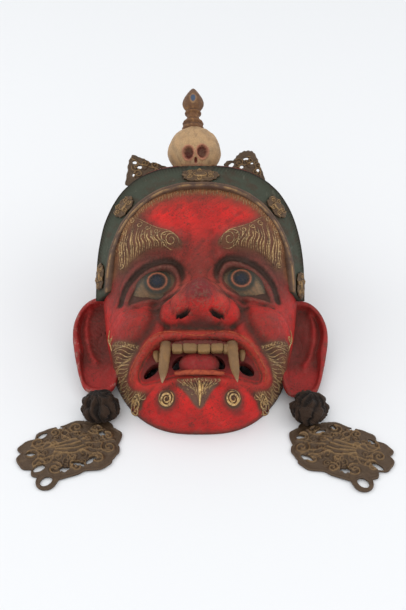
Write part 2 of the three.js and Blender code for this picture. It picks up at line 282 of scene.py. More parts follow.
def finish_piece(
    bm: bmesh.types.BMesh,
    name: str,
    finishes: Sequence[Finish],
    smooth: bool = True,
) -> bpy.types.Object:
    """Makes the object of a mesh and rides it on the mask.

    Args:
        bm: the mesh, which is freed.
        name: the piece's name.
        finishes: its materials, in slot order.
        smooth: whether it is shaded smooth.

    Returns:
        The object.
    """
    mesh = bpy.data.meshes.new(name)
    bm.to_mesh(mesh)
    bm.free()
    for material in finishes:
        mesh.materials.append(material)
    mesh.polygons.foreach_set("use_smooth", [smooth] * len(mesh.polygons))
    mesh.update()
    piece = bpy.data.objects.new(name, mesh)
    bpy.context.scene.collection.objects.link(piece)
    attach(piece, "root")
    LOG.info("%s: %d faces", name, len(mesh.polygons))
    return piece


def corners(piece: bpy.types.Object) -> Rows:
    """The piece's corners in millimetres over the floor, before the frame's shift."""
    flat = np.empty(len(piece.data.vertices) * 3)
    piece.data.vertices.foreach_get("co", flat)
    return flat.reshape(-1, 3) / MM - SHIFT


def face_places(piece: bpy.types.Object) -> Rows:
    """The piece's corners in face directions, in millimetres."""
    p = corners(piece)
    v = p[:, 1] * math.cos(PITCH) + p[:, 2] * math.sin(PITCH)
    w = -p[:, 1] * math.sin(PITCH) + p[:, 2] * math.cos(PITCH)
    return np.stack((p[:, 0], v, w), axis=1)


def paint(piece: bpy.types.Object, name: str, colours: Rows) -> None:
    """Stores a colour for each corner.

    Args:
        piece: the piece.
        name: the attribute's name.
        colours: rows of red, green, blue.
    """
    layer = piece.data.attributes.new(name, "FLOAT_COLOR", "POINT")
    full = np.ones((len(colours), 4))
    full[:, :3] = colours
    layer.data.foreach_set("color", full.ravel())


def mark(piece: bpy.types.Object, name: str, values: Rows) -> None:
    """Stores a number for each corner."""
    layer = piece.data.attributes.new(name, "FLOAT", "POINT")
    layer.data.foreach_set("value", np.asarray(values, dtype=float).ravel())


def blend(base: Rows, colour: Colour, share: Rows) -> Rows:
    """Mixes a colour into rows of colours by a share for each row."""
    s = np.clip(share, 0.0, 1.0)[:, None]
    return base * (1.0 - s) + np.asarray(colour) * s


def tube(
    bm: bmesh.types.BMesh,
    line: Rows,
    radii: Rows,
    up: Rows,
    flat: float = 1.0,
    sides: int = 8,
    material: int = 0,
) -> None:
    """Adds a closed tube with a changing radius along a line.

    Args:
        bm: mesh that gets the tube.
        line: rows of places along it.
        radii: radius at each place.
        up: direction away from the ground at each place, or one for all.
        flat: height over width of the tube.
        sides: number of sides.
        material: material index of its faces.
    """
    count = len(line)
    up = np.broadcast_to(up, line.shape)
    along = np.gradient(line, axis=0)
    along /= np.linalg.norm(along, axis=1, keepdims=True) + 1e-12
    side = np.cross(along, up)
    side /= np.linalg.norm(side, axis=1, keepdims=True) + 1e-12
    out = np.cross(side, along)
    before = len(bm.faces)
    made, share = cells(bm, sides, count + 1)
    row = np.rint(share[:, 1] * (count + 1)).astype(int)
    ring = np.clip(row - 1, 0, count - 1)
    size = np.where((row == 0) | (row == count + 1), 0.0, np.asarray(radii)[ring])
    turn = share[:, 0] * 2.0 * math.pi
    spots = line[ring] + side[ring] * (size * np.cos(turn))[:,
        None] + out[ring] * (size * flat * np.sin(turn))[:, None]
    place(made, spots)
    bm.faces.ensure_lookup_table()
    if material:
        for face in bm.faces[before:]:
            face.material_index = material


def disc_share(share: Rows) -> tuple[Rows, Rows]:
    """Square grid shares to the turn and radius of a disc.

    Args:
        share: rows of shares between 0 and 1.

    Returns:
        Turns and radii between 0 and 1.
    """
    s, t = 2.0 * share[:, 0] - 1.0, 2.0 * share[:, 1] - 1.0
    p, q = s * np.sqrt(1.0 - t * t / 2.0), t * np.sqrt(1.0 - s * s / 2.0)
    return np.arctan2(q, p), np.minimum(1.0, np.hypot(p, q))


# ---------------------------------------------------------------- finishes


class Weave:
    """Builds a node material step by step."""

    def __init__(self, name: str) -> None:
        """Starts an empty material with a Principled surface."""
        self.material = bpy.data.materials.new(name)
        self.material.use_nodes = True
        self.tree = self.material.node_tree
        self.tree.nodes.clear()
        self.shader = self.tree.nodes.new("ShaderNodeBsdfPrincipled")
        out = self.tree.nodes.new("ShaderNodeOutputMaterial")
        self.tree.links.new(self.shader.outputs[0], out.inputs[0])
        self.place = self.tree.nodes.new("ShaderNodeTexCoord").outputs["Object"]

    def feed(self, socket: bpy.types.NodeSocket, value: object) -> None:
        """Links a socket into another, or sets its value."""
        if isinstance(value, bpy.types.NodeSocket):
            self.tree.links.new(value, socket)
        elif isinstance(value, tuple) and len(value) == 3 and socket.type == "RGBA":
            socket.default_value = (*value, 1.0)
        else:
            socket.default_value = value

    def attribute(self, name: str, colour: bool = False) -> bpy.types.NodeSocket:
        """The socket of a stored attribute."""
        node = self.tree.nodes.new("ShaderNodeAttribute")
        node.attribute_name = name
        return node.outputs["Color" if colour else "Fac"]

    def noise(self, size: float, detail: float = 4.0, roughness: float = 0.55,
        stretch: Colour = (1, 1, 1)) -> bpy.types.NodeSocket:
        """Cloudy noise.

        Args:
            size: size of one cloud, in metres.
            detail: layers of detail.
            roughness: strength of the fine layers.
            stretch: factor along each direction.

        Returns:
            The noise's socket.
        """
        moved = self.tree.nodes.new("ShaderNodeMapping")
        self.tree.links.new(self.place, moved.inputs["Vector"])
        moved.inputs["Scale"].default_value = stretch
        node = self.tree.nodes.new("ShaderNodeTexNoise")
        self.tree.links.new(moved.outputs[0], node.inputs["Vector"])
        node.inputs["Scale"].default_value = 1.0 / size
        node.inputs["Detail"].default_value = detail
        node.inputs["Roughness"].default_value = roughness
        return node.outputs[0]

    def cracks(self, size: float) -> bpy.types.NodeSocket:
        """Distance to the edges of a net of cells of that size, in metres."""
        bent = self.tree.nodes.new("ShaderNodeVectorMath")
        bent.operation = "MULTIPLY_ADD"
        cloud = self.tree.nodes.new("ShaderNodeTexNoise")
        self.tree.links.new(self.place, cloud.inputs["Vector"])
        cloud.inputs["Scale"].default_value = 0.6 / size
        self.tree.links.new(cloud.outputs["Color"], bent.inputs[0])
        bent.inputs[1].default_value = (size, size, size)
        self.tree.links.new(self.place, bent.inputs[2])
        node = self.tree.nodes.new("ShaderNodeTexVoronoi")
        node.feature = "DISTANCE_TO_EDGE"
        node.inputs["Scale"].default_value = 1.0 / size
        self.tree.links.new(bent.outputs[0], node.inputs["Vector"])
        return node.outputs["Distance"]

    def step(self, value: object, low: float, high: float, to_low: float = 0.0,
        to_high: float = 1.0) -> bpy.types.NodeSocket:
        """Maps a range of values to another, smoothly.

        Args:
            value: what is mapped.
            low: start of the range.
            high: end of the range.
            to_low: what the start becomes.
            to_high: what the end becomes.

        Returns:
            The mapped socket.
        """
        node = self.tree.nodes.new("ShaderNodeMapRange")
        node.interpolation_type = "SMOOTHSTEP"
        self.feed(node.inputs["Value"], value)
        node.inputs["From Min"].default_value = low
        node.inputs["From Max"].default_value = high
        node.inputs["To Min"].default_value = to_low
        node.inputs["To Max"].default_value = to_high
        return node.outputs[0]

    def sum(self, operation: str, first: object, second: object) -> bpy.types.NodeSocket:
        """A Math node on two values."""
        node = self.tree.nodes.new("ShaderNodeMath")
        node.operation = operation
        self.feed(node.inputs[0], first)
        self.feed(node.inputs[1], second)
        return node.outputs[0]

    def mix(self, share: object, first: object, second: object) -> bpy.types.NodeSocket:
        """Mixes two colours."""
        node = self.tree.nodes.new("ShaderNodeMix")
        node.data_type = "RGBA"
        self.feed(node.inputs[0], share)
        self.feed(node.inputs[6], first)
        self.feed(node.inputs[7], second)
        return node.outputs[2]

    def bump(self, *layers: tuple[object, float]) -> None:
        """Stacks bump layers of (height socket, depth in metres)."""
        normal: Optional[bpy.types.NodeSocket] = None
        for height, depth in layers:
            node = self.tree.nodes.new("ShaderNodeBump")
            node.inputs["Distance"].default_value = depth
            node.inputs["Strength"].default_value = 1.0
            self.feed(node.inputs["Height"], height)
            if normal is not None:
                self.tree.links.new(normal, node.inputs["Normal"])
            normal = node.outputs[0]
        if normal is not None:
            self.tree.links.new(normal, self.shader.inputs["Normal"])

    def surface(self, colour: object, roughness: object, metallic: object = 0.0,
        specular: float = 0.5) -> Finish:
        """Feeds the shader and hands over the material.

        Args:
            colour: base colour.
            roughness: roughness.
            metallic: how metallic it is.
            specular: strength of the reflection.

        Returns:
            The material.
        """
        self.feed(self.shader.inputs["Base Color"], colour)
        self.feed(self.shader.inputs["Roughness"], roughness)
        self.feed(self.shader.inputs["Metallic"], metallic)
        self.shader.inputs["Specular IOR Level"].default_value = specular
        return self.material


@dataclass(frozen=True)
class AgedPaint:
    """Old distemper over wood: regions of colour, grimy deposits with painted shade in the hollows, rubbed highs
    and fine cracks.
    """

    name: str = "aged_paint"
    # Dark brown for grimy patches, specks and cracks, and for the painted shade in the hollows.
    grime: Colour = (0.052, 0.027, 0.019)
    worn: Colour = (0.20, 0.12, 0.08)
    dust: Colour = (0.30, 0.22, 0.18)

    def build(self) -> Finish:
        """Makes the material."""
        w = Weave(self.name)
        tone = w.attribute("paint", colour=True)
        hollow = w.attribute("hollow")
        rub = w.attribute("rub")
        broad = w.noise(0.035, 5.0, 0.6)
        fine = w.noise(0.004, 5.0, 0.65)
        specks = w.noise(0.0021, 3.0, 0.6)
        uneven = w.mix(w.step(broad, 0.40, 0.72, 0.0, 0.5), tone, w.mix(0.5, tone, self.grime))
        # The hollow mark darkens the recesses: grimy deposits together with painted shade.
        hollow_grime_and_shade = w.sum("MULTIPLY", hollow, w.step(fine, 0.25, 0.62, 0.55, 1.0))
        grimed_and_shaded = w.mix(hollow_grime_and_shade, uneven, self.grime)
        spots = w.sum("MULTIPLY", w.step(specks, 0.56, 0.66), w.step(broad, 0.36, 0.60, 0.25, 0.85))
        spotted = w.mix(spots, grimed_and_shaded, self.grime)
        bare = w.sum("MULTIPLY", rub, w.step(fine, 0.46, 0.60))
        rubbed = w.mix(bare, spotted, self.worn)
        net = w.cracks(0.0042)
        crack = w.sum("MULTIPLY", w.step(net, 0.0, 0.05, 1.0, 0.0), w.step(broad, 0.40, 0.60, 0.0, 0.5))
        cracked = w.mix(crack, rubbed, self.grime)
        dusty = w.mix(w.step(w.noise(0.012, 3.0), 0.55, 0.75, 0.0, 0.06), cracked, self.dust)
        w.bump((w.step(net, 0.0, 0.08), 0.00014), (fine, 0.0007), (specks, 0.0004))
        return w.surface(dusty, w.step(fine, 0.3, 0.7, 0.50, 0.74), 0.0, 0.16)


@dataclass(frozen=True)
class WornGilding:
    """Gold paint rubbed to brown and red ground in the hollows."""

    name: str = "worn_gilding"
    gold: Colour = (0.30, 0.165, 0.062)
    ground: Colour = (0.075, 0.036, 0.021)
    bright: Colour = (0.60, 0.41, 0.19)

    def build(self) -> Finish:
        """Makes the material."""
        w = Weave(self.name)
        broad = w.noise(0.012, 5.0, 0.65)
        fine = w.noise(0.0022, 4.0, 0.6)
        lift = w.attribute("lift")
        base = w.mix(w.step(broad, 0.38, 0.62), self.ground, self.gold)
        base = w.mix(w.step(lift, 0.1, 0.75, 0.85, 0.0), base, self.ground)
        shine = w.sum("MULTIPLY", w.step(lift, 0.6, 1.0), w.step(fine, 0.42, 0.6, 0.1, 0.8))
        colour = w.mix(shine, base, self.bright)
        w.bump((fine, 0.0004), (broad, 0.0003))
        return w.surface(colour, w.step(fine, 0.3, 0.7, 0.38, 0.62), w.step(lift, 0.2, 0.9, 0.0, 0.35), 0.5)


@dataclass(frozen=True)
class BandPaint:
    """Matte grey-green paint of the diadem with brown scuffs."""

    name: str = "band_paint"
    green: Colour = (0.050, 0.057, 0.040)
    brown: Colour = (0.055, 0.036, 0.024)
    scuff: Colour = (0.12, 0.12, 0.09)
    edge: Colour = (0.020, 0.015, 0.011)

    def build(self) -> Finish:
        """Makes the material."""
        w = Weave(self.name)
        broad = w.noise(0.02, 5.0, 0.65)
        fine = w.noise(0.003, 5.0, 0.6)
        streak = w.noise(0.006, 4.0, 0.6, (1.0, 0.3, 1.0))
        colour = w.mix(w.step(broad, 0.45, 0.68, 0.0, 0.85), self.green, self.brown)
        colour = w.mix(w.step(streak, 0.60, 0.74, 0.0, 0.55), colour, self.scuff)
        colour = w.mix(w.attribute("rim"), colour, self.edge)
        w.bump((fine, 0.0004), (broad, 0.0008))
        return w.surface(colour, w.step(fine, 0.3, 0.7, 0.62, 0.84), 0.0, 0.16)


@dataclass(frozen=True)
class OldBrass:
    """Cast brass with a brown skin and rubbed highs."""

    name: str = "old_brass"
    skin: Colour = (0.080, 0.048, 0.026)
    metal: Colour = (0.235, 0.145, 0.070)
    high: Colour = (0.28, 0.185, 0.095)

    def build(self) -> Finish:
        """Makes the material."""
        w = Weave(self.name)
        broad = w.noise(0.010, 5.0, 0.6)
        fine = w.noise(0.0018, 4.0, 0.6)
        lift = w.attribute("lift")
        bare = w.sum("ADD", w.step(lift, 0.25, 1.0, 0.0, 0.75), w.step(broad, 0.45, 0.75, -0.1, 0.25))
        colour = w.mix(bare, self.skin, self.metal)
        colour = w.mix(w.sum("MULTIPLY", w.step(lift, 0.78, 1.0), w.step(fine, 0.4, 0.65, 0.0, 0.8)),
            colour, self.high)
        w.bump((fine, 0.00035), (broad, 0.0006))
        return w.surface(colour, w.step(fine, 0.3, 0.7, 0.34, 0.56), w.step(bare, 0.0, 0.9, 0.45, 0.95),
            0.5)


@dataclass(frozen=True)
class RegionPaint:
    """Old paint or bone whose colour is laid on by regions, with grain, stains and fine cracks."""

    name: str
    stain: Colour
    stain_share: float = 0.35
    net_size: float = 0.003
    gloss: tuple[float, float] = (0.42, 0.65)

    def build(self) -> Finish:
        """Makes the material."""
        w = Weave(self.name)
        tone = w.attribute("paint", colour=True)
        broad = w.noise(0.014, 5.0, 0.6)
        fine = w.noise(0.002, 4.0, 0.6)
        net = w.cracks(self.net_size)
        colour = w.mix(w.step(broad, 0.42, 0.72, 0.0, self.stain_share), tone, self.stain)
        colour = w.mix(w.step(net, 0.0, 0.06, 0.45, 0.0), colour, self.stain)
        colour = w.mix(w.step(fine, 0.58, 0.72, 0.0, 0.4), colour, self.stain)
        w.bump((w.step(net, 0.0, 0.08), 0.00015), (fine, 0.0003))
        return w.surface(colour, w.step(fine, 0.3, 0.7, *self.gloss), 0.0, 0.2)


@dataclass(frozen=True)
class DarkSilk:
    """Crumpled dark brown silk with a faint slub weave, painted shade in its fold troughs and painted sheen on its
    crests and patches.
    """

    name: str = "dark_silk"
    trough_shade: Colour = (0.010, 0.006, 0.004)
    fold: Colour = (0.036, 0.020, 0.012)

    def build(self) -> Finish:
        """Makes the material."""
        w = Weave(self.name)
        lift = w.attribute("lift")
        broad = w.noise(0.007, 5.0, 0.65)
        slub = w.noise(0.0011, 3.0, 0.6, (1.0, 4.0, 1.0))
        cross = w.noise(0.0011, 3.0, 0.6, (4.0, 1.0, 1.0))
        # Painted shade in the troughs between folds and painted light on the fold crests.
        colour = w.mix(w.step(lift, 0.2, 0.9), self.trough_shade, self.fold)
        # Lighter cloudy patches: painted sheen.
        colour = w.mix(w.step(broad, 0.58, 0.76, 0.0, 0.3), colour, (0.060, 0.034, 0.020))
        w.bump((slub, 0.00035), (cross, 0.00035), (broad, 0.0006))
        w.shader.inputs["Sheen Weight"].default_value = 0.08
        w.shader.inputs["Sheen Roughness"].default_value = 0.4
        return w.surface(colour, w.step(slub, 0.3, 0.7, 0.62, 0.86), 0.0, 0.18)


@dataclass(frozen=True)
class CutWood:
    """Dark handled wood of the hollow inside, with gouge marks and grain along the face."""

    name: str = "cut_wood"
    light: Colour = (0.20, 0.125, 0.07)
    dark: Colour = (0.07, 0.040, 0.023)

    def build(self) -> Finish:
        """Makes the material."""
        w = Weave(self.name)
        grain = w.noise(0.005, 6.0, 0.6, (3.0, 0.25, 1.0))
        gouge = w.noise(0.013, 2.0, 0.4)
        colour = w.mix(w.step(grain, 0.35, 0.65), self.dark, self.light)
        colour = w.mix(w.step(gouge, 0.5, 0.75, 0.0, 0.5), colour, self.dark)
        w.bump((grain, 0.0004), (gouge, 0.0018))
        return w.surface(colour, w.step(grain, 0.3, 0.7, 0.6, 0.8), 0.0, 0.3)


@dataclass(frozen=True)
class StudioFloor:
    """Plain pale matte floor."""

    name: str = "studio_floor"
    tone: Colour = (0.80, 0.81, 0.82)

    def build(self) -> Finish:
        """Makes the material."""
        w = Weave(self.name)
        return w.surface(self.tone, 0.9, 0.0, 0.1)


@dataclass
class Finishes:
    """All finishes, built once."""

    face: Finish = field(default_factory=lambda: AgedPaint().build())
    gilding: Finish = field(default_factory=lambda: WornGilding().build())
    band: Finish = field(default_factory=lambda: BandPaint().build())
    brass: Finish = field(default_factory=lambda: OldBrass().build())
    plaque: Finish = field(
        default_factory=lambda: OldBrass("plaque_brass", (0.095, 0.055, 0.028), (0.33, 0.20, 0.090),
            (0.55, 0.38, 0.19)).build()
    )
    ivory: Finish = field(default_factory=lambda: RegionPaint("ivory_paint", (0.20, 0.13, 0.075),
        0.4).build())
    bone: Finish = field(
        default_factory=lambda: RegionPaint("tooth_paint", (0.16, 0.09, 0.04), 0.45, 0.0035,
            (0.3, 0.5)).build()
    )
    eye: Finish = field(
        default_factory=lambda: RegionPaint("eye_paint", (0.075, 0.048, 0.026), 0.4, 0.004,
            (0.28, 0.5)).build()
    )
    gold: Finish = field(
        default_factory=lambda: WornGilding("bright_gilding", (0.50, 0.30, 0.10), (0.12, 0.060, 0.030),
            (0.80, 0.58, 0.26)).build()
    )
    curl: Finish = field(
        default_factory=lambda: WornGilding("curl_gilding", (0.42, 0.22, 0.070), (0.095, 0.044, 0.024),
            (0.72, 0.50, 0.22)).build()
    )
    hair: Finish = field(
        default_factory=lambda: WornGilding("hair_paint", (0.27, 0.135, 0.055), (0.11, 0.046, 0.026),
            (0.42, 0.25, 0.11)).build()
    )
    lip: Finish = field(default_factory=lambda: RegionPaint("lip_paint", (0.20, 0.035, 0.022), 0.4).build())
    bud: Finish = field(default_factory=lambda: RegionPaint("bud_paint", (0.075, 0.040, 0.024),
        0.5).build())
    silk: Finish = field(default_factory=lambda: DarkSilk().build())
    wood: Finish = field(default_factory=lambda: CutWood().build())
    floor: Finish = field(default_factory=lambda: StudioFloor().build())


# ---------------------------------------------------------------- the carved head


@dataclass
class HeadForm:
    """The plain form of the head and the carving laid over it."""

    middle_y: float = 178.0
    half_length: float = 174.0
    half_width: float = 129.0
    flare: float = 0.15
    squareness: float = 2.8
    rise: float = 55.0
    slope: float = 0.554
    falloff: float = 3.5
    iris: dict = field(default_factory=lambda: {Side.LEFT: (-54.0, 189.0), Side.RIGHT: (52.0, 193.0)})

    def __post_init__(self) -> None:
        """Draws the carving's lines and measures the tables of the form."""
        self.eye_open = {side: self._eye_line(side, self.opening_points()) for side in Side}
        self.lid_groove = {side: self._eye_line(side, self.groove_points(), False) for side in Side}
        self.mouth = round_line(self.mouth_points(), True, 8)
        self.table_u = np.arange(-152.0, 153.0, 1.0)
        self.table_v = np.arange(-24.0, 382.0, 1.0)
        u, v = np.meshgrid(self.table_u, self.table_v)
        self.base_table = self._solve_base(u.ravel(), v.ravel()).reshape(u.shape)
        self.carve_table = self.carving(u.ravel(), v.ravel()).reshape(u.shape)
        soft = self.carve_table + 0.0
        wide = self.carve_table + 0.0
        for _ in range(5):
            soft = self._spread(soft)
        for _ in range(60):
            wide = self._spread(wide)
        # The hollow table maps the carving's recesses; it drives grimy darkening together with painted shade in the
        # hollows.
        self.hollow_table = (
            np.clip((soft - self.carve_table) / 1.1, -1, 1) * 0.6 + np.clip((wide - soft) / 5.0, -1, 1) * 0.7
        )

    @staticmethod
    def _spread(table: Rows) -> Rows:
        """Evens a table out a little in both directions."""
        table = 0.25 * np.roll(table, 1, 0) + 0.5 * table + 0.25 * np.roll(table, -1, 0)
        return 0.25 * np.roll(table, 1, 1) + 0.5 * table + 0.25 * np.roll(table, -1, 1)

    @staticmethod
    def opening_points() -> list[tuple[float, float]]:
        """Edge of the eye opening, measured from the middle of the iris, outward first."""
        return [
            (36, -28.5), (33, -17), (27, -6), (19, 4), (8, 12.5), (-8, 16.5), (-19, 12.5), (-24.5, 1),
            (-22.5, -12), (-13, -20.5), (3, -24), (20, -27),
        ]

    @staticmethod
    def groove_points() -> list[tuple[float, float]]:
        """Deep line over the upper lid, measured from the middle of the iris."""
        return [(47, -23), (41, -4), (29, 11.5), (14, 22), (-4, 27.5), (-19, 27), (-28, 19), (-31, 6),
            (-29, -9)]

    @staticmethod
    def mouth_points() -> list[tuple[float, float]]:
        """Edge of the open mouth."""
        return [
            (0, 107.5), (18, 107.5), (33, 107), (50, 101), (62, 91), (70, 80), (75, 70), (70, 63),
                (54, 64.5),
            (33, 68), (0, 68.5), (-33, 67), (-55, 62), (-70, 62), (-74.5, 71), (-69, 83), (-58, 97),
                (-46, 104),
            (-35, 107), (-18, 107.5),
        ]

    def _eye_line(self, side: Side, points: list[tuple[float, float]], closed: bool = True) -> Rows:
        """Places an eye's line on its side of the face."""
        u, v = self.iris[side]
        return round_line([(u + side.value * a, v + b) for a, b in points], closed, 7)

    def plain_height(self, x: Rows, y: Rows) -> Rows:
        """Height over the floor of the uncarved head at a place in plan."""
        low, high = np.full(x.shape, 1e-4), np.full(x.shape, 1.6)
        across, along = np.abs(x), y - self.middle_y
        for _ in range(24):
            mid = 0.5 * (low + high)
            f = (np.abs(along) / (self.half_length * mid)) ** self.squareness
            f = f + (across / np.maximum(self.half_width * mid + self.flare * along,
                1e-3)) ** self.squareness
            low, high = np.where(f > 1.0, mid, low), np.where(f > 1.0, high, mid)
        drop = np.clip(1.0 - np.clip(mid, 0, 1) ** self.falloff, 0, None) ** (1.0 / self.falloff)
        return (self.rise + self.slope * y) * drop

    def _solve_base(self, u: Rows, v: Rows) -> Rows:
        """How far the uncarved head stands out of the face plane at u, v."""
        low, high = np.full(u.shape, -190.0), np.full(u.shape, 110.0)
        for _ in range(18):
            w = 0.5 * (low + high)
            y = v * math.cos(PITCH) - w * math.sin(PITCH)
            z = v * math.sin(PITCH) + w * math.cos(PITCH)
            over = z > self.plain_height(u, y)
            low, high = np.where(over, low, w), np.where(over, w, high)
        return w

    def plain_point(self, turn: Rows, fraction: Rows, inset: float) -> Rows:
        """Places on the uncarved head, in millimetres over the floor.

        Args:
            turn: direction from the middle, in radians.
            fraction: share of the way over the form to its rim.
            inset: how far the form is drawn in, as for the hollow.

        Returns:
            Rows of places.
        """
        steps = np.linspace(0.0, 1.0, 801)
        drops = np.clip(1.0 - steps**self.falloff, 0, None) ** (1.0 / self.falloff)
        runs = np.concatenate(([0.0], np.cumsum(np.hypot(np.diff(steps), np.diff(drops)))))
        radius = np.interp(fraction * runs[-1], runs, steps)
        drop = np.clip(1.0 - radius**self.falloff, 0, None) ** (1.0 / self.falloff)
        exponent = 2.0 / self.squareness
        rim_y = (self.half_length - inset) * power(np.sin(turn), exponent)
        rim_x = (self.half_width - inset + self.flare * rim_y) * power(np.cos(turn), exponent)
        x, y = rim_x * radius, self.middle_y + rim_y * radius
        return np.stack((x, y, (self.rise + self.slope * y - inset * 1.15) * drop), axis=1)

    def carving(self, u: Rows, v: Rows) -> Rows:
        """How far the carving stands over the plain head.

        Args:
            u: places across.
            v: places up the face.

        Returns:
            Heights along the face's outward direction.
        """
        h = 11.0 * swell(u, v, (0, 272), (80, 42))
        for side in Side:
            s = side.value
            eye_u, eye_v = self.iris[side]
            ridge = v - eye_v - 55 + 0.06 * s * (u - eye_u)
            h += 13.0 * np.exp(-(((u - eye_u - s * 6) / 40) ** 2 + (ridge / 16) ** 2))
            h -= 14.0 * swell(u, v, (eye_u, eye_v + 2), (42, 27))
            edge = depth_inside(u, v, self.eye_open[side])
            h += 2.6 * np.exp(-(((edge + 4.0) / 3.4) ** 2)) - 2.5 * ease(-1.0, 2.0, edge)
            h += 9.0 * knob(u, v, (eye_u + s * 3, eye_v - 4), (46, 36))
            h -= 5.0 * np.exp(-((near_line(u, v, self.lid_groove[side]) / 3.6) ** 2))
            under = round_line([(eye_u + s * 40, eye_v - 36), (eye_u + s * 14, eye_v - 34),
                (eye_u - s * 16, eye_v - 28)])
            h -= 2.6 * np.exp(-((near_line(u, v, under) / 2.8) ** 2))
            h += 21.0 * swell(u, v, (s * 82, 128), (31, 27))
            h += 5.0 * knob(u, v, (s * 80, 128), (36, 30))
            fold = round_line([(s * 52, 166), (s * 57, 150), (s * 58, 132), (s * 70, 112), (s * 92, 96)])
            h -= 7.0 * np.exp(-((near_line(u, v, fold) / 6.5) ** 2))
            h += 4.0 * knob(u, v, (s * 33, 143), (17, 17)) + 9.0 * swell(u, v, (s * 30, 145), (19, 18))
            wing = round_line([(s * 27, 165), (s * 43, 159), (s * 51, 148), (s * 50, 133), (s * 40, 125)])
            h -= 3.6 * np.exp(-((near_line(u, v, wing) / 3.4) ** 2))
            frown = round_line([(s * 14, 252), (s * 15, 236), (s * 19, 222), (s * 24, 208)])
            h -= 2.4 * np.exp(-((near_line(u, v, frown) / 5.0) ** 2))
            nostril = self.nostril(u, v, side)
            h -= 15.0 * np.clip(1.0 - nostril, 0, None) ** 0.6
            h -= 2.5 * np.exp(-((near_line(u, v, round_line([(s * 40, 60), (s * 62, 50), (s * 80, 40)]))
                / 5.0) ** 2))
            h += 3.0 * knob(u, v, (s * 40.5, 39), (12.5, 12.0)) + 2.6 * knob(u, v, (s * 80, 40.5),
                (9.0, 11.0))
            brow = depth_inside(u, v, brow_patch(side))
            beard = depth_inside(u, v, beard_patch(side))
            h += 1.7 * ease(-1.5, 2.0, brow) + 1.5 * ease(-1.5, 2.0, beard)
        bridge = np.exp(-((u / 17.0) ** 2)) * ease(112, 150, v) * (1.0 - ease(190, 250, v))
        h += 13.0 * bridge
        spread = 16.0 + 0.56 * np.clip(202.0 - v, 0, 60)
        h += 16.0 * np.exp(-((u / spread) ** 2)) * ease(120, 140, v) * (1.0 - ease(178, 222, v))
        h += 13.0 * knob(u, v, (0, 150), (36, 30)) + 27.0 * swell(u, v, (0, 153), (29, 24))
        h += 17.0 * swell(u, v, (0, 100), (68, 24))
        h += 8.0 * swell(u, v, (0, 34), (52, 24)) + 6.0 * knob(u, v, (0, 28), (74, 40))
        h += 1.6 * ease(-1.5, 2.0, depth_inside(u, v, goatee_patch()))
        h -= 3.5 * np.exp(-(((v - 57.0 + 0.0018 * u * u) / 4.5) ** 2)) * (1 - ease(28, 60, np.abs(u)))
        edge = depth_inside(u, v, self.mouth)
        h += 6.0 * np.exp(-(((edge + 7.0) / 5.5) ** 2)) * (0.35 + 0.65 * ease(62, 76, v))
        h -= 2.0 * np.exp(-(((edge + 1.5) / 1.6) ** 2))
        h += 0.5 * rough(np.stack((u, v), axis=1), 31.0, 2.0) + 0.22 * rough(np.stack((u, v), axis=1), 9.0,
            5.0)
        return h

    @staticmethod
    def nostril(u: Rows, v: Rows, side: Side) -> Rows:
        """Flat oval of a nostril: 1 on its edge, 0 in its middle."""
        across = u - side.value * 20.5
        return (across / 9.2) ** 2 + ((v - 133.5 + 0.10 * side.value * across) / 2.5) ** 2

    def mouth_floor(self, u: Rows) -> Rows:
        """How far out of the face plane the floor of the mouth lies."""
        return 46.5 - 15.0 * (u / 86.0) ** 2

    def sample(self, table: Rows, u: Rows, v: Rows) -> Rows:
        """Reads a table between its marks.

        Args:
            table: one of the form's tables.
            u: places across.
            v: places up the face.

        Returns:
            The values there.
        """
        a = np.clip(u - self.table_u[0], 0, len(self.table_u) - 1.001)
        b = np.clip(v - self.table_v[0], 0, len(self.table_v) - 1.001)
        i, j = a.astype(int), b.astype(int)
        s, t = a - i, b - j
        top = table[j + 1, i] * (1 - s) + table[j + 1, i + 1] * s
        return (table[j, i] * (1 - s) + table[j, i + 1] * s) * (1 - t) + top * t

    def skin(self, u: Rows, v: Rows) -> Rows:
        """How far the carved skin stands out of the face plane."""
        base = self.sample(self.base_table, u, v)
        z = v * math.sin(PITCH) + base * math.cos(PITCH)
        return base + ease(4, 60, z) * self.sample(self.carve_table, u, v)

    def out(self, u: Rows, v: Rows) -> Rows:
        """Direction out of the carved skin, in face directions."""
        du = (self.skin(u + 2, v) - self.skin(u - 2, v)) / 4.0
        dv = (self.skin(u, v + 2) - self.skin(u, v - 2)) / 4.0
        n = np.stack((-du, -dv, np.ones_like(du)), axis=1)
        return n / np.linalg.norm(n, axis=1, keepdims=True)

    def on_skin(self, line: Rows, lift: float = 0.0) -> tuple[Rows, Rows]:
        """Lays a flat line on the skin.

        Args:
            line: rows of u, v.
            lift: height over the skin.

        Returns:
            The places and the directions out of the skin.
        """
        u, v = line[:, 0], line[:, 1]
        n = self.out(u, v)
        return np.stack((u, v, self.skin(u, v)), axis=1) + n * lift, n


@dataclass
class BandForm:
    """The lines of the diadem."""

    foot_v: float = 190.0
    outer: tuple[float, float, float] = (138.0, 167.0, 2.8)
    inner: tuple[float, float, float] = (119.0, 130.0, 2.2)

    def edges(self, turn: Rows) -> tuple[Rows, Rows]:
        """Outer and inner edge of the strip at each turn.

        Args:
            turn: 0 at the right end, half a turn at the left end.

        Returns:
            Rows of outer and of inner edge places.
        """
        sine, cosine = np.clip(np.sin(turn), 0, None), np.cos(turn)
        lines = []
        for (wide, high, squareness), low, rise in ((self.outer, -24.0, 64.0), (self.inner, 8.0, 45.0)):
            e = 2.0 / squareness
            lines.append(
                np.stack((wide * power(cosine, e), self.foot_v + high * sine**e, low + rise * sine**0.8),
                    axis=1)
            )
        return lines[0], lines[1]

    def seat(self, turn: float) -> tuple[Rows, Rows, Rows, Rows]:
        """Middle of the strip with its directions along, across and out."""
        outer, inner = self.edges(np.array((turn, turn - 0.04)))
        middle = 0.5 * (outer[0] + inner[0])
        along = 0.5 * (outer[1] + inner[1]) - middle
        along /= np.linalg.norm(along)
        out = np.cross(along, outer[0] - inner[0])
        out /= np.linalg.norm(out)
        return middle, along, np.cross(out, along), out


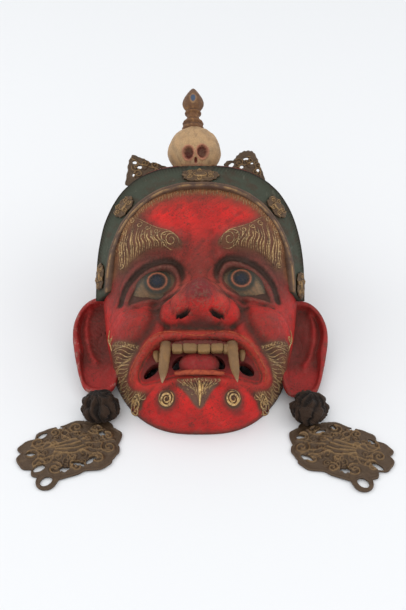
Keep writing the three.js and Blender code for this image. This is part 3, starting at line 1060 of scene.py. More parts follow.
@dataclass
class Shell:
    """The hollow painted head."""

    form: HeadForm
    band: BandForm
    looks: Finishes
    grid: int = 288
    hollow_grid: int = 64
    wall: float = 10.0

    def _outer(self, bm: bmesh.types.BMesh) -> list[bmesh.types.BMEdge]:
        """Shapes the outer skin and gives its rim edges."""
        made, share = cells(bm, self.grid, self.grid)
        share[:, 1] = 0.5 + 0.5 * ((2 * share[:, 1] - 1) - 0.13 * (1 - (2 * share[:, 1] - 1) ** 2))
        turn, radius = disc_share(share)
        rim = np.max(np.abs(2 * share - 1), axis=1) > 0.99999
        fraction = np.where(rim, 1.0, 0.70 * radius + 0.30 * radius**4)
        p = self.form.plain_point(turn, fraction, 0.0)
        v = p[:, 1] * math.cos(PITCH) + p[:, 2] * math.sin(PITCH)
        w = -p[:, 1] * math.sin(PITCH) + p[:, 2] * math.cos(PITCH)
        fade = ease(4, 60, p[:, 2])
        skin = w + fade * self.form.carving(p[:, 0], v)
        inside = depth_inside(p[:, 0], v, self.form.mouth)
        floor = np.minimum(self.form.mouth_floor(p[:, 0]), skin)
        skin = skin + (floor - skin) * ease(-0.6, 0.9, inside)
        move = np.where(rim, 0.0, skin - w)
        p[:, 1] -= move * math.sin(PITCH)
        p[:, 2] += move * math.cos(PITCH)
        p[rim, 2] = 0.0
        p[:, 2] = np.maximum(p[:, 2], 0.0)
        place(made, floor_frame(p))
        return [edge for edge in bm.edges if edge.is_boundary]

    def _inner(self, bm: bmesh.types.BMesh, known: set[bmesh.types.BMEdge]) -> list[bmesh.types.BMEdge]:
        """Shapes the wall of the hollow and gives its rim edges."""
        before = set(bm.faces)
        made, share = cells(bm, self.hollow_grid, self.hollow_grid)
        turn, radius = disc_share(share)
        rim = np.max(np.abs(2 * share - 1), axis=1) > 0.99999
        p = self.form.plain_point(turn, np.where(rim, 1.0, radius), self.wall)
        p[:, 2] += 0.7 * rough(p, 26.0, 3.0) * ease(3, 25, p[:, 2])
        p[rim, 2] = 0.0
        place(made, floor_frame(p))
        new = [face for face in bm.faces if face not in before]
        bmesh.ops.reverse_faces(bm, faces=new)
        for face in new:
            face.material_index = 1
        return [edge for edge in bm.edges if edge.is_boundary and edge not in known]

    def _hole(self, at: tuple[float, float], reach: tuple[float, float], lean: float) -> bpy.types.Object:
        """A tapered round cutter through the mouth's floor."""
        bm = bmesh.new()
        made = bmesh.ops.create_cone(
            bm, cap_ends=True, segments=40, radius1=1.0, radius2=1.0, depth=1.0
        )["verts"]
        spots = np.array([vert.co[:] for vert in made])
        grow = np.where(spots[:, 2] > 0, 1.12, 0.9)[:, None]
        flat = spots[:, :2] * np.asarray(reach) * grow
        turned = np.stack(
            (flat[:, 0] * math.cos(lean) - flat[:, 1] * math.sin(lean),
                flat[:, 0] * math.sin(lean) + flat[:, 1] * math.cos(lean)),
            axis=1,
        )
        spots = np.stack((turned[:, 0] + at[0], turned[:, 1] + at[1], 38.0 + 60.0 * spots[:, 2]), axis=1)
        place(made, to_frame(spots))
        mesh = bpy.data.meshes.new("cutter")
        bm.to_mesh(mesh)
        bm.free()
        cutter = bpy.data.objects.new("cutter", mesh)
        bpy.context.scene.collection.objects.link(cutter)
        return cutter

    def _pierce(self, piece: bpy.types.Object) -> None:
        """Cuts the see-through openings of the mouth."""
        cutters = [
            self._hole((-26, 81.5), (6.0, 10.0), -0.75),
            self._hole((23, 82), (6.0, 9.5), 0.75),
            self._hole((-60, 73.5), (11.5, 5.2), 0.65),
            self._hole((57, 76), (11.0, 6.5), -0.5),
        ]
        for cutter in cutters:
            cut = piece.modifiers.new("opening", "BOOLEAN")
            cut.operation = "DIFFERENCE"
            cut.solver = "MANIFOLD"
            cut.object = cutter
        graph = bpy.context.evaluated_depsgraph_get()
        cut_mesh = bpy.data.meshes.new_from_object(piece.evaluated_get(graph))
        piece.modifiers.clear()
        old = piece.data
        piece.data = cut_mesh
        cut_mesh.name = old.name + "_carved"
        bpy.data.meshes.remove(old)
        for cutter in cutters:
            bpy.data.objects.remove(cutter)

    def _tones(self, piece: bpy.types.Object) -> None:
        """Lays the painted regions on the shell."""
        p = face_places(piece)
        low = corners(piece)[:, 2]
        u, v, w = p[:, 0], p[:, 1], p[:, 2]
        form = self.form
        front = ease(-22, 8, w) * (1 - ease(318, 335, v))
        tone = np.tile(np.array((0.60, 0.020, 0.018)), (len(p), 1))
        uneven = rough(p, 70.0, 1.0)
        tone = blend(tone, (0.40, 0.018, 0.016), ease(-0.3, 0.9, uneven) * 0.55)
        tone = blend(tone, (0.72, 0.024, 0.020), ease(0.0, 0.9, -uneven) * 0.6)
        tone = blend(tone, (0.17, 0.024, 0.020), ease(0.2, 1.0, rough(p, 26.0, 8.0)) * 0.45)
        mid_brow = swell(u, v, (0, 236), (20, 30)) + 0.7 * swell(u, v, (0, 196), (30, 32))
        tone = blend(tone, (0.15, 0.036, 0.028), mid_brow * 0.45)
        lip_field = swell(u, v, (0, 118), (70, 14))
        tone = blend(tone, (0.23, 0.028, 0.022), lip_field * 0.55)
        for side in Side:
            s = side.value
            eye_u, eye_v = form.iris[side]
            socket = swell(u, v, (eye_u + s * 2, eye_v + 10), (50, 34))
            tone = blend(tone, (0.105, 0.036, 0.026), np.clip(1.25 * socket, 0, 0.93))
            temple = swell(u, v, (s * 104, 205), (22, 50))
            tone = blend(tone, (0.13, 0.036, 0.030), 0.75 * temple * front)
            lid = depth_inside(u, v, form.eye_open[side])
            tone = blend(tone, (0.135, 0.036, 0.027), ease(-10, -3, lid) * front * 0.8)
            groove = near_line(u, v, form.lid_groove[side])
            tone = blend(tone, (0.020, 0.013, 0.010),
                (1 - ease(2.6, 7.0, groove + 0.8 * rough(p, 8.0, 3.0))) * front * 0.96)
            tone = blend(tone, (0.045, 0.026, 0.018), ease(-1.2, 0.4, lid) * front)
            cheek = swell(u, v, (s * 80, 130), (27, 22))
            tone = blend(tone, (0.33, 0.026, 0.021), np.clip(1.2 * cheek, 0, 0.92) * front)
            tone = blend(tone, (0.20, 0.028, 0.023),
                cheek * front * 0.6 * ease(0.0, 0.8, rough(p, 15.0, 3.0)))
            flank = swell(u, v, (s * 25, 170), (13, 20))
            tone = blend(tone, (0.37, 0.060, 0.042), np.clip(1.2 * flank, 0, 0.85) * front)
            # Darker along the carved fold by the nose and round the nose wing: painted shade in the grooves, with
            # some grimy darkening.
            crease = near_line(u, v, round_line([(s * 50, 172), (s * 56, 152), (s * 57, 132),
                (s * 70, 112), (s * 92, 96), (s * 104, 82)]))
            tone = blend(tone, (0.085, 0.028, 0.021), np.exp(-((crease / 8.5) ** 2)) * 0.72 * front)
            wing = near_line(u, v, round_line([(s * 27, 166), (s * 43, 160), (s * 52, 148), (s * 50, 132),
                (s * 40, 124)]))
            tone = blend(tone, (0.10, 0.024, 0.020), np.exp(-((wing / 4.2) ** 2)) * 0.7 * front)
            brow = depth_inside(u, v, brow_patch(side))
            tone = blend(tone, (0.12, 0.045, 0.034), ease(-14, -1, brow) * 0.5 * (1 - ease(-1, 1, brow)))
            tone = blend(tone, (0.130, 0.062, 0.034), ease(-3, 1, brow) * 0.95)
            beard = depth_inside(u, v, beard_patch(side))
            tone = blend(tone, (0.10, 0.034, 0.026), ease(-9, -1, beard) * 0.5 * (1 - ease(-1, 1, beard)))
            tone = blend(tone, (0.128, 0.066, 0.036), ease(-3, 1, beard) * 0.94)
            # Nostrils painted near black: painted shade in the nostril cavities.
            nostril = form.nostril(u, v, side)
            tone = blend(tone, (0.003, 0.002, 0.002), 1 - ease(0.75, 1.35, nostril))
            cuff = np.hypot((u - s * 40.5), v - 39)
            tone = blend(tone, (0.090, 0.045, 0.026), 1 - ease(10.0, 13.5, cuff))
            tone = blend(tone, (0.20, 0.030, 0.024), 0.6 * (1 - ease(12, 19, cuff)) * ease(9, 12, cuff))
            flower = np.hypot((u - s * 80) * 1.2, v - 40.5)
            tone = blend(tone, (0.095, 0.050, 0.028), (1 - ease(8.5, 12.0, flower)) * front)
        # Dark band under the nose: painted shade.
        under_nose_shade = swell(u, v, (0, 122), (30, 6))
        tone = blend(tone, (0.060, 0.016, 0.014), np.clip(under_nose_shade * 1.1, 0, 0.85))
        goatee = depth_inside(u, v, goatee_patch())
        tone = blend(tone, (0.105, 0.072, 0.048), ease(-2.5, 1, goatee) * 0.94)
        tip = np.hypot(u * 0.95, (v - 157) * 0.95)
        worn = (1 - ease(10, 27, tip + 4.0 * rough(p, 11.0, 4.0))) * ease(136, 144, v)
        tone = blend(tone, (0.10, 0.016, 0.020), worn * 0.8)
        inside = depth_inside(u, v, form.mouth)
        upper = ease(88, 100, v) + ease(66, 76, np.abs(u))
        lip = np.exp(-(((inside + 9.5) / 2.4) ** 2)) * np.clip(upper, 0, 1) * ease(58, 66, v)
        tone = blend(tone, (0.40, 0.072, 0.030), lip * 0.7 * front)
        lips = ease(-13, -9, inside) * (1 - ease(-1.5, 0, inside))
        tone = blend(tone, (0.33, 0.034, 0.024), lips * 0.55 * front)
        inner_lip = np.exp(-(((inside + 2.0) / 1.8) ** 2)) * ease(40, 55, np.abs(u)) * ease(62, 72, v)
        tone = blend(tone, (0.40, 0.060, 0.028), inner_lip * 0.6 * front)
        tone = blend(tone, (0.21, 0.016, 0.014), ease(-0.5, 1.5, inside) * front)
        # Darker deeper inside the mouth: painted shade under the lips and teeth.
        tone = blend(tone, (0.040, 0.012, 0.010), ease(2, 12, inside) * 0.55 * front)
        edge_u = 119.0 * (np.clip(1 - np.clip((v - 190) / 130, 0, 1) ** 2.2, 0, 1)) ** (1 / 2.2)
        edge_v = 190.0 + 130.0 * (np.clip(1 - np.clip(np.abs(u) / 119, 0, 1) ** 2.2, 0, 1)) ** (1 / 2.2)
        to_edge = np.minimum(edge_u - np.abs(u), (edge_v - v)) + 1.6 * rough(p, 10.0, 6.0)
        brim = (1 - ease(4, 15, to_edge)) * ease(196, 215, v) * front
        tone = blend(tone, (0.125, 0.052, 0.032),
            (1 - ease(10, 34, to_edge)) * ease(196, 215, v) * front * 0.62)
        tone = blend(tone, (0.24, 0.105, 0.042), brim * 0.80)
        behind = np.maximum(ease(326, 345, v), 1 - ease(-60, -25, w))
        tone = blend(tone, (0.115, 0.022, 0.018), behind * 0.8)
        # Darker within 12 mm of the floor: painted shade where the shell meets the floor.
        tone = blend(tone, (0.055, 0.028, 0.020), (1 - ease(0.5, 12.0, low)) * 0.75)
        paint(piece, "paint", tone)
        # Hollow mark from the carving's recesses: grimy darkening and painted shade in the hollows of the face.
        hollow = form.sample(form.hollow_table, u, v) * ease(-60, -20, w)
        for side in Side:
            hollow = hollow * ease(0.9, 1.6, form.nostril(u, v, side))
        mark(piece, "hollow", np.clip(hollow + 0.12 + 0.25 * behind, 0.0, 1.0))
        proud = np.clip(-hollow, 0, 1) * ease(0.15, 0.5, -hollow)
        chips = ease(0.35, 0.9, rough(p, 24.0, 7.0)) * 0.25
        mark(piece, "rub", np.clip(proud * 0.45 + worn * 0.12 + chips * 0.4 + 0.3 * (1 - ease(1, 10, low)),
            0, 1))

    def build(self) -> None:
        """Makes the head and dresses it."""
        bm = bmesh.new()
        outer = self._outer(bm)
        inner = self._inner(bm, set(outer))
        bmesh.ops.bridge_loops(bm, edges=outer + inner)
        piece = finish_piece(bm, "painted_head", [self.looks.face, self.looks.wood])
        self._pierce(piece)
        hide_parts("mask_body")
        self._tones(piece)


def brow_patch(side: Side) -> Rows:
    """Outline of a brow."""
    s = side.value
    top = [(23, 238), (36, 250), (54, 258), (68, 268), (80, 278), (91, 283)]
    edge = [(98, 276), (104, 256), (107, 236), (107, 217)]
    foot = [(98, 210), (86, 220), (70, 227), (56, 230), (41, 231), (29, 233)]
    lift = -1.0 if side is Side.LEFT else 1.0
    return round_line([(s * a, b + lift) for a, b in top + edge + foot], True, 5)


def beard_patch(side: Side) -> Rows:
    """Outline of the carved beard beside the mouth."""
    s = side.value
    points = [
        (113, 119), (94, 111), (76, 103), (85, 90), (91, 76), (91, 65), (83, 56), (68, 51), (72, 43),
            (86, 42),
        (97, 50), (105, 66), (110, 86), (112, 104),
    ]
    return round_line([(s * a, b) for a, b in points], True, 5)


def goatee_patch() -> Rows:
    """Outline of the carved goatee."""
    return round_line([(-29, 60), (0, 63), (24, 61), (14, 46), (0, 27), (-17, 44)], True, 5)


# ---------------------------------------------------------------- carved relief


def curl(at: Sequence[float], radius: float, start: float, turns: float, spin: float = 1.0,
    steps: int = 22) -> Rows:
    """A flat spiral from its outside inward.

    Args:
        at: its middle.
        radius: its outer radius.
        start: turn where it starts.
        turns: how many times it goes round.
        spin: 1 for one way round, -1 for the other.
        steps: how many places.

    Returns:
        Rows of u, v.
    """
    t = np.linspace(0.0, 1.0, steps)
    turn = start + spin * t * turns * 2.0 * math.pi
    reach = radius * (1.0 - 0.86 * t)
    return np.stack((at[0] + reach * np.cos(turn), at[1] + reach * np.sin(turn)), axis=1)


@dataclass
class Strands:
    """Raised lines carved on the skin and gilt on their crests."""

    form: HeadForm
    looks: Finishes
    name: str
    lines: list[tuple[Rows, float]] = field(default_factory=list)

    def add(self, line: Rows, width: float) -> None:
        """Adds a line of a given half width."""
        self.lines.append((line, width))

    def build(self, finish: Optional[Finish] = None) -> bpy.types.Object:
        """Makes all lines as one piece.

        Args:
            finish: material, gilding if none is given.

        Returns:
            The piece.
        """
        bm = bmesh.new()
        lifts: list[Rows] = []
        for line, width in self.lines:
            length = np.linalg.norm(np.diff(line, axis=0), axis=1).sum()
            count = max(7, min(36, int(length / 1.3)))
            even = even_line(line, count)
            taper = np.sin(np.linspace(0.16, math.pi - 0.16, count)) ** 0.55
            spots, up = self.form.on_skin(even, width * 0.12)
            before = len(bm.verts)
            tube(bm, spots, width * taper, up, 0.95, 7)
            bm.verts.ensure_lookup_table()
            new = np.array([vert.co[:] for vert in bm.verts[before:]])
            skin = self.form.skin(new[:, 0], new[:, 1])
            lifts.append(np.clip((new[:, 2] - skin) / (width * 0.9), 0, 1))
        layer = bm.verts.layers.float.new("lift")
        values = np.concatenate(lifts)
        flat = np.array([vert.co[:] for vert in bm.verts])
        for vert, spot, value in zip(bm.verts, to_frame(flat).tolist(), values.tolist()):
            vert.co = spot
            vert[layer] = value
        tidy(bm, 1e-6)
        return finish_piece(bm, self.name, [finish or self.looks.gilding])


@dataclass
class Brow:
    """A flame-shaped brow of slanting gilt strands with curls along its top."""

    form: HeadForm
    looks: Finishes
    side: Side
    strands: int = 23

    def build(self) -> None:
        """Makes the brow."""
        s = self.side.value
        drop = -1.0 if self.side is Side.LEFT else 1.0
        made = Strands(self.form, self.looks, f"brow_strands_{self.side.word}")
        foot_line = round_line([(42, 233), (56, 232), (70, 229), (86, 222), (98, 212), (105, 219)], False,
            8)
        tip_line = round_line([(52, 253), (62, 258), (72, 265), (82, 273), (91, 276), (99, 268)], False, 8)
        feet, tips = even_line(foot_line, self.strands), even_line(tip_line, self.strands)
        for k in range(self.strands):
            foot, tip = feet[k], tips[k]
            bow = 1.7 * math.sin(2.3 * k)
            mid = 0.5 * (foot + tip) + np.array((1.8 + bow, -1.0))
            low = 0.25 * tip + 0.75 * foot + np.array((0.4 * bow - 0.8, 0.0))
            reach = 0.80 + 0.16 * math.sin(1.7 * k)
            end = foot + (tip - foot) * reach + np.array((0.5 * bow, 0.0))
            line = round_line([foot, low, mid, end], False, 8)
            line[:, 1] += drop
            made.add(line * np.array((s, 1.0)), 0.9 if k % 2 else 0.62)
        spirals = [((37, 241), 7.8, 2.4, 1.6, -1), ((55, 252), 4.6, 2.6, 1.4, 1),
            ((67, 260), 4.4, 2.2, 1.5, 1),
                   ((78, 268), 4.6, 1.5, 1.4, 1), ((88, 276), 3.6, 1.2, 1.3, 1),
                       ((46, 248), 2.8, 2.5, 1.2, 1),
                   ((98, 262), 3.4, 2.0, 1.3, 1), ((101, 218), 3.8, 0.0, 1.4, -1),
                       ((102, 247), 3.0, 0.3, 1.3, -1),
                   ((103, 233), 3.0, 0.3, 1.3, 1), ((72, 251), 2.2, 0.9, 1.1, -1),
                       ((62, 245), 2.2, 1.9, 1.1, 1)]
        for (u, v), radius, start, turns, spin in spirals:
            line = curl((u, v + drop), radius, start, turns, spin)
            made.add(line * np.array((s, 1.0)), 0.78)
        hood = round_line([(26, 236), (30, 246), (40, 251), (49, 246), (46, 236), (37, 231), (29, 232)])
        rim = round_line([(23, 239), (36, 251), (54, 259), (68, 269), (80, 278), (91, 283)])
        inner = round_line([(44, 236), (53, 243), (58, 251)])
        for line, width in ((hood, 0.9), (rim, 0.55), (inner, 0.7)):
            line[:, 1] += drop
            made.add(line * np.array((s, 1.0)), width)
        made.build()


@dataclass
class Sideburn:
    """Wavy carved beard beside the mouth, with small curls along its edge."""

    form: HeadForm
    looks: Finishes
    side: Side
    strands: int = 27

    def build(self) -> None:
        """Makes the beard relief."""
        s = self.side.value
        made = Strands(self.form, self.looks, f"beard_strands_{self.side.word}")
        inner = round_line([(78, 103), (85, 91), (90, 77), (90, 66), (83, 57), (70, 51), (68, 48)], False,
            10)
        outer = round_line([(112, 118), (111, 104), (109, 87), (104, 67), (96, 52), (86, 43), (74, 43)],
            False, 10)
        starts, ends = even_line(outer, self.strands), even_line(inner, self.strands)
        for k in range(self.strands):
            a, b = starts[k], ends[k]
            t = np.linspace(0.02, 0.98, 15)
            across = b - a
            length = np.linalg.norm(across)
            normal = np.array((-across[1], across[0])) / length
            wave = 1.5 * np.sin(t * (5.2 + 0.8 * math.sin(k)) + 1.1 * k) + 2.2 * np.sin(math.pi * t)
            line = a + across * t[:, None] + normal * wave[:, None]
            made.add(line * np.array((s, 1.0)), 0.85 if k % 2 else 0.6)
        for k in range(9):
            t = k / 8.0
            spot = (110.0 - 33.0 * t, 115.5 - 13.0 * t)
            made.add(curl(spot, 2.1, 1.2 + k, 1.2, -1) * np.array((s, 1.0)), 0.62)
        for k in range(2, self.strands - 2, 3):
            spot = 0.8 * starts[k] + 0.2 * ends[k]
            made.add(curl(spot, 2.7, 0.9 * k, 1.3, 1 if k % 2 else -1) * np.array((s, 1.0)), 0.68)
        made.build()


@dataclass
class ChinCurls:
    """Gilt curls on the chin, the goatee, the scrolls by the ears and the temple marks."""

    form: HeadForm
    looks: Finishes

    def build(self) -> None:
        """Makes the curls."""
        made = Strands(self.form, self.looks, "chin_curls")
        for side in Side:
            s = side.value
            spot = (s * 40.5, 39.0)
            made.add(curl(spot, 8.6, 1.0, 2.2, s, 40), 1.7)
            made.add(curl(spot, 11.2, 2.0, 0.95, -s, 32), 0.8)
            for k in range(3):
                made.add(curl((s * (80 + 1.5 * abs(k - 1)), 40.5 + 5.2 * (k - 1)), 5.2 - abs(k - 1),
                    1.0 + k, 1.3, s), 1.3)
            petals = [(s * 74, 48), (s * 79, 51), (s * 85, 46), (s * 87, 39), (s * 84, 33), (s * 77, 32)]
            made.add(round_line(petals), 0.9)
            made.add(round_line([(s * 116, 140), (s * 118, 131), (s * 115, 122), (s * 113, 114)]), 1.5)
            made.add(curl((s * 115, 127), 3.6, 0.5, 1.3, s), 1.0)
        made.build(self.looks.curl)
        beard = Strands(self.form, self.looks, "goatee_strands")
        for k in range(17):
            t = k / 16.0 * 2.0 - 1.0
            top = (t * 26.5 - 2.0, 61.0 + 1.0 * (1 - t * t))
            wave = 1.3 * math.sin(k * 2.1)
            mid = (t * 16.5 - 1.0 + wave, 51.0 + 3.0 * abs(t))
            tip = (t * 8.0 - 0.5, 35.0 + 15.0 * abs(t) ** 1.1 + 2.0 * math.sin(3.1 * k))
            beard.add(round_line([top, mid, tip]), 0.62)
        for k in range(11):
            beard.add(curl((-26 + 4.9 * k, 60.5), 1.9, 1.0 + k, 1.2, 1), 0.55)
        for row, half in ((55.0, 19.0), (49.0, 13.5), (43.0, 8.5)):
            for k in range(5):
                beard.add(curl((half * (k / 2.0 - 1.0) - 1.0, row + math.sin(2.0 * k)), 1.9, 1.3 * k, 1.2,
                    -1), 0.5)
        beard.build()
        streak = Strands(self.form, self.looks, "goatee_gilding")
        streak.add(round_line([(-1, 60), (-0.5, 54), (0, 48), (-0.3, 43)]), 2.1)
        streak.add(round_line([(0.6, 44), (0, 39), (-0.2, 34), (-0.5, 30)]), 1.3)
        streak.add(round_line([(2.5, 57), (3.0, 51), (1.6, 45)]), 0.8)
        streak.build(self.looks.gold)


@dataclass
class Hairline:
    """Short painted strokes of hair under the diadem."""

    form: HeadForm
    band: BandForm
    looks: Finishes
    strokes: int = 190

    def build(self) -> None:
        """Makes the strokes."""
        made = Strands(self.form, self.looks, "hairline_strokes")
        for k in range(self.strokes):
            turn = math.pi * (0.12 + 0.76 * k / (self.strokes - 1))
            _, inner = self.band.edges(np.array((turn,)))
            u, v = inner[0, 0], inner[0, 1]
            length = (10.5 + 3.0 * math.sin(k * 1.9) + 2.0 * math.sin(k * 0.7)) * math.sin(turn) ** 0.6
            aim = np.array((-u * 0.55, -(v - 150.0)))
            aim = aim / np.linalg.norm(aim)
            start = np.array((u, v)) - aim * 1.5
            end = start + aim * length
            side = np.array((-aim[1], aim[0])) * 1.1 * math.sin(k * 2.3)
            made.add(round_line([start, 0.5 * (start + end) + side, end]), 0.42 if k % 3 else 0.58)
        made.build(self.looks.hair)


# ---------------------------------------------------------------- eyes and mouth


@dataclass
class Eye:
    """A bulging painted eye set under the carved lids."""

    form: HeadForm
    looks: Finishes
    side: Side
    reach: tuple[float, float] = (42.0, 29.0)

    def build(self) -> None:
        """Makes the eye and paints its rings."""
        s = self.side.value
        iris_u, iris_v = self.form.iris[self.side]
        middle = (iris_u + s * 8.0, iris_v - 8.0)
        bm = bmesh.new()
        made, share = cells(bm, 150, 110)
        turn, radius = disc_share(share)
        u = middle[0] + self.reach[0] * radius * np.cos(turn)
        v = middle[1] + self.reach[1] * radius * np.sin(turn)
        bed = self.form.skin(u, v)
        edge = depth_inside(u, v, self.form.eye_open[self.side])
        dome = 15.5 * np.sqrt(np.clip(1.0 - radius**2, 0, None)) - 6.0
        flat = self.form.skin(np.array([middle[0]]), np.array([middle[1]]))[0]
        plain = self.form.sample(self.form.base_table, u, v)
        w = plain - 6.5 + dome
        away = np.hypot(u - iris_u, v - iris_v)
        w += 1.6 * np.sqrt(np.clip(1.0 - (away / 19.0) ** 2, 0, None))
        w += 0.5 * np.exp(-(((away - 11.8) / 1.6) ** 2))
        w = np.where(edge < -3.0, np.minimum(w, bed - 1.0), w)
        LOG.info("eye %s: bed %.1f, crown %.1f", self.side.word, flat, w.max())
        spots = np.stack((u, v, w), axis=1)
        place(made, to_frame(spots))
        skirt = bmesh.ops.extrude_edge_only(bm, edges=[e for e in bm.edges if e.is_boundary])["geom"]
        lowered = [g for g in skirt if isinstance(g, bmesh.types.BMVert)]
        down = to_frame(np.array(((0.0, 0.0, -4.0),)))[0] - to_frame(np.array(((0.0, 0.0, 0.0),)))[0]
        bmesh.ops.translate(bm, verts=lowered, vec=down)
        tidy(bm)
        piece = finish_piece(bm, f"eye_{self.side.word}", [self.looks.eye])
        p = face_places(piece)
        u, v = p[:, 0], p[:, 1]
        away = np.hypot(u - iris_u, v - iris_v) + 0.35 * rough(p, 7.0, 2.0)
        edge = depth_inside(u, v, self.form.eye_open[self.side])
        tone = np.tile(np.array((0.175, 0.096, 0.050)), (len(p), 1))
        outward = s * (u - iris_u)
        tone = blend(tone, (0.25, 0.155, 0.082), ease(12, 26, outward) * 0.6)
        tone = blend(tone, (0.085, 0.068, 0.042), ease(-0.3, 0.8, rough(p, 11.0, 1.0)) * 0.6)
        tone = blend(tone, (0.20, 0.115, 0.050), (1 - ease(-24, -16, v - iris_v)) * 0.7)
        tone = blend(tone, (0.060, 0.034, 0.020),
            (1 - ease(-24, -15, v - iris_v)) * ease(-0.1, 0.4, rough(p, 4.5, 6.0)) * 0.8)
        # Darker band along the lid edge inside the opening: painted shade under the lids.
        tone = blend(tone, (0.075, 0.060, 0.038), 1 - ease(1.0, 7.0, edge + 1.6 * rough(p, 9.0, 2.0)))
        tone = blend(tone, (0.040, 0.026, 0.017), (1 - ease(0.0, 2.4, edge)) * 0.95)
        tone = blend(tone, (0.026, 0.030, 0.024), 1 - ease(15.5, 20.5, away))
        tone = blend(tone, (0.060, 0.040, 0.026), 1 - ease(13.4, 15.0, away))
        tone = blend(tone, (0.285, 0.095, 0.050), 1 - ease(12.4, 13.4, away))
        tone = blend(tone, (0.075, 0.028, 0.020), 1 - ease(10.4, 11.4, away))
        tone = blend(tone, (0.008, 0.009, 0.013), 1 - ease(9.0, 10.2, away))
        tone = blend(tone, (0.016, 0.020, 0.030), 1 - ease(3.0, 8.6, away))
        paint(piece, "paint", tone)


@dataclass
class Mouth:
    """Teeth, fangs, tongue, lips and gums."""

    form: HeadForm
    looks: Finishes
    teeth: tuple[tuple[float, float], ...] = ((-27.6, 6.7), (-12.0, 8.6), (4.8, 7.9), (20.7, 7.7),
        (32.6, 4.0))

    def _tooth(self, bm: bmesh.types.BMesh, line: Rows, radii: Sequence[float], flat: float) -> None:
        """Adds one tooth along a line of places."""
        even = even_line(round_line(line, False, 10), 26)
        size = np.interp(np.linspace(0, 1, 26), np.linspace(0, 1, len(radii)), radii)
        size = size * (1 + 0.03 * np.sin(np.arange(26) * 1.7))
        tube(bm, even, size, np.array((0.0, 0.0, 1.0)), flat, 22)

    def _teeth(self) -> None:
        """Makes the upper teeth and the fangs."""
        bm = bmesh.new()
        for k, (u, half) in enumerate(self.teeth):
            w = 55.5 - 0.0022 * u * u
            made = bmesh.ops.create_cube(bm, size=2.0)["verts"]
            sides = list({edge for vert in made for edge in vert.link_edges})
            before = set(bm.verts) - set(made)
            bmesh.ops.bevel(bm, geom=sides, offset=0.42, offset_type="OFFSET", segments=5, profile=0.5,
                affect="EDGES", material=-1)
            new = [vert for vert in bm.verts if vert not in before]
            ball = np.array([vert.co[:] for vert in new])
            bulge = 1.0 + 0.10 * np.cos(ball[:, 0] * 1.4) * np.cos(ball[:, 1] * 1.4)
            spots = ball * np.array((half, 5.6, 5.4)) * np.stack((np.ones(len(ball)), np.ones(len(ball)),
                bulge), axis=1)
            spots[:, 0] *= 1 + 0.04 * ball[:, 1]
            spots += np.array((u, 97.0 + 0.6 * math.sin(2.4 * k), w))
            place(new, spots)
        self._tooth(bm, np.array(((-41.5, 105, 52), (-42.5, 92, 56), (-44, 74, 57.5), (-45.5, 53, 55))),
            (6.6, 7.0, 6.7, 6.5, 6.3, 5.7, 3.4, 0.6), 0.8)
        self._tooth(bm, np.array(((39, 105, 53), (40, 92, 57), (42, 74, 58), (45.5, 54, 56))),
            (6.8, 7.2, 6.6, 6.2, 5.9, 5.2, 3.0, 0.5), 0.8)
        self._tooth(bm, np.array(((-54, 96, 44), (-53.5, 89, 47), (-52, 82, 47))), (3.8, 4.0, 3.4, 1.6),
            0.8)
        self._tooth(bm, np.array(((52, 97, 45), (52, 90, 48), (51.5, 83, 48))), (3.6, 3.8, 3.2, 1.6), 0.8)
        flat = np.array([vert.co[:] for vert in bm.verts])
        place(bm.verts, to_frame(flat))
        tidy(bm)
        piece = finish_piece(bm, "teeth_and_fangs", [self.looks.bone])
        p = face_places(piece)
        tone = np.tile(np.array((0.235, 0.140, 0.058)), (len(p), 1))
        tone = blend(tone, (0.34, 0.185, 0.060), ease(-0.2, 0.8, rough(p, 18.0, 1.0)) * 0.6)
        fang = ease(33, 36, np.abs(p[:, 0]))
        tone = blend(tone, (0.20, 0.105, 0.050), fang * 0.55)
        tone = blend(tone, (0.42, 0.27, 0.16), (1 - ease(55, 64, p[:, 1])) * fang * 0.8)
        tone = blend(tone, (0.15, 0.085, 0.045), ease(97, 103, p[:, 1]) * 0.85)
        streak = ease(0.15, 0.9, rough(p * np.array((1.0, 0.22, 1.0)), 3.4, 3.0)) * 0.55
        tone = blend(tone, (0.17, 0.10, 0.05), streak)
        paint(piece, "paint", tone)

    def _tongue(self) -> None:
        """Makes the tongue and the gums."""
        bm = bmesh.new()
        made = bmesh.ops.create_uvsphere(bm, u_segments=56, v_segments=36, radius=1.0)["verts"]
        ball = np.array([vert.co[:] for vert in made])
        groove = 1.6 * np.exp(-((ball[:, 0] / 0.16) ** 2)) * (ball[:, 2] > 0)
        spots = ball * np.array((25.0, 16.0, 13.0)) + np.array((-1.0, 80.5, 43.0))
        spots[:, 2] -= groove
        place(made, to_frame(spots))
        gum = round_line([(-36, 101, 52), (-18, 103, 56), (0, 103.5, 57), (18, 103, 56), (33, 101, 53)],
            False, 10)
        known = set(bm.verts)
        tube(bm, even_line(gum, 40), 4.4 + 0.5 * np.sin(np.arange(40) * 1.9), np.array((0.0, 0.0, 1.0)),
            0.9, 14)
        new = [vert for vert in bm.verts if vert not in known]
        place(new, to_frame(np.array([vert.co[:] for vert in new])))
        tidy(bm)
        piece = finish_piece(bm, "tongue_and_gum", [self.looks.face])
        p = face_places(piece)
        tone = np.tile(np.array((0.25, 0.018, 0.018)), (len(p), 1))
        tone = blend(tone, (0.10, 0.026, 0.020), ease(96, 100, p[:, 1]) * 0.8)
        # Darker towards the back of the mouth, in colour and in the hollow mark: painted shade.
        tone = blend(tone, (0.16, 0.018, 0.016), 1 - ease(0, 9, p[:, 2] - 44))
        paint(piece, "paint", tone)
        mark(piece, "hollow", 0.3 * (1 - ease(0, 8, p[:, 2] - 46)))
        mark(piece, "rub", np.full(len(p), 0.12))

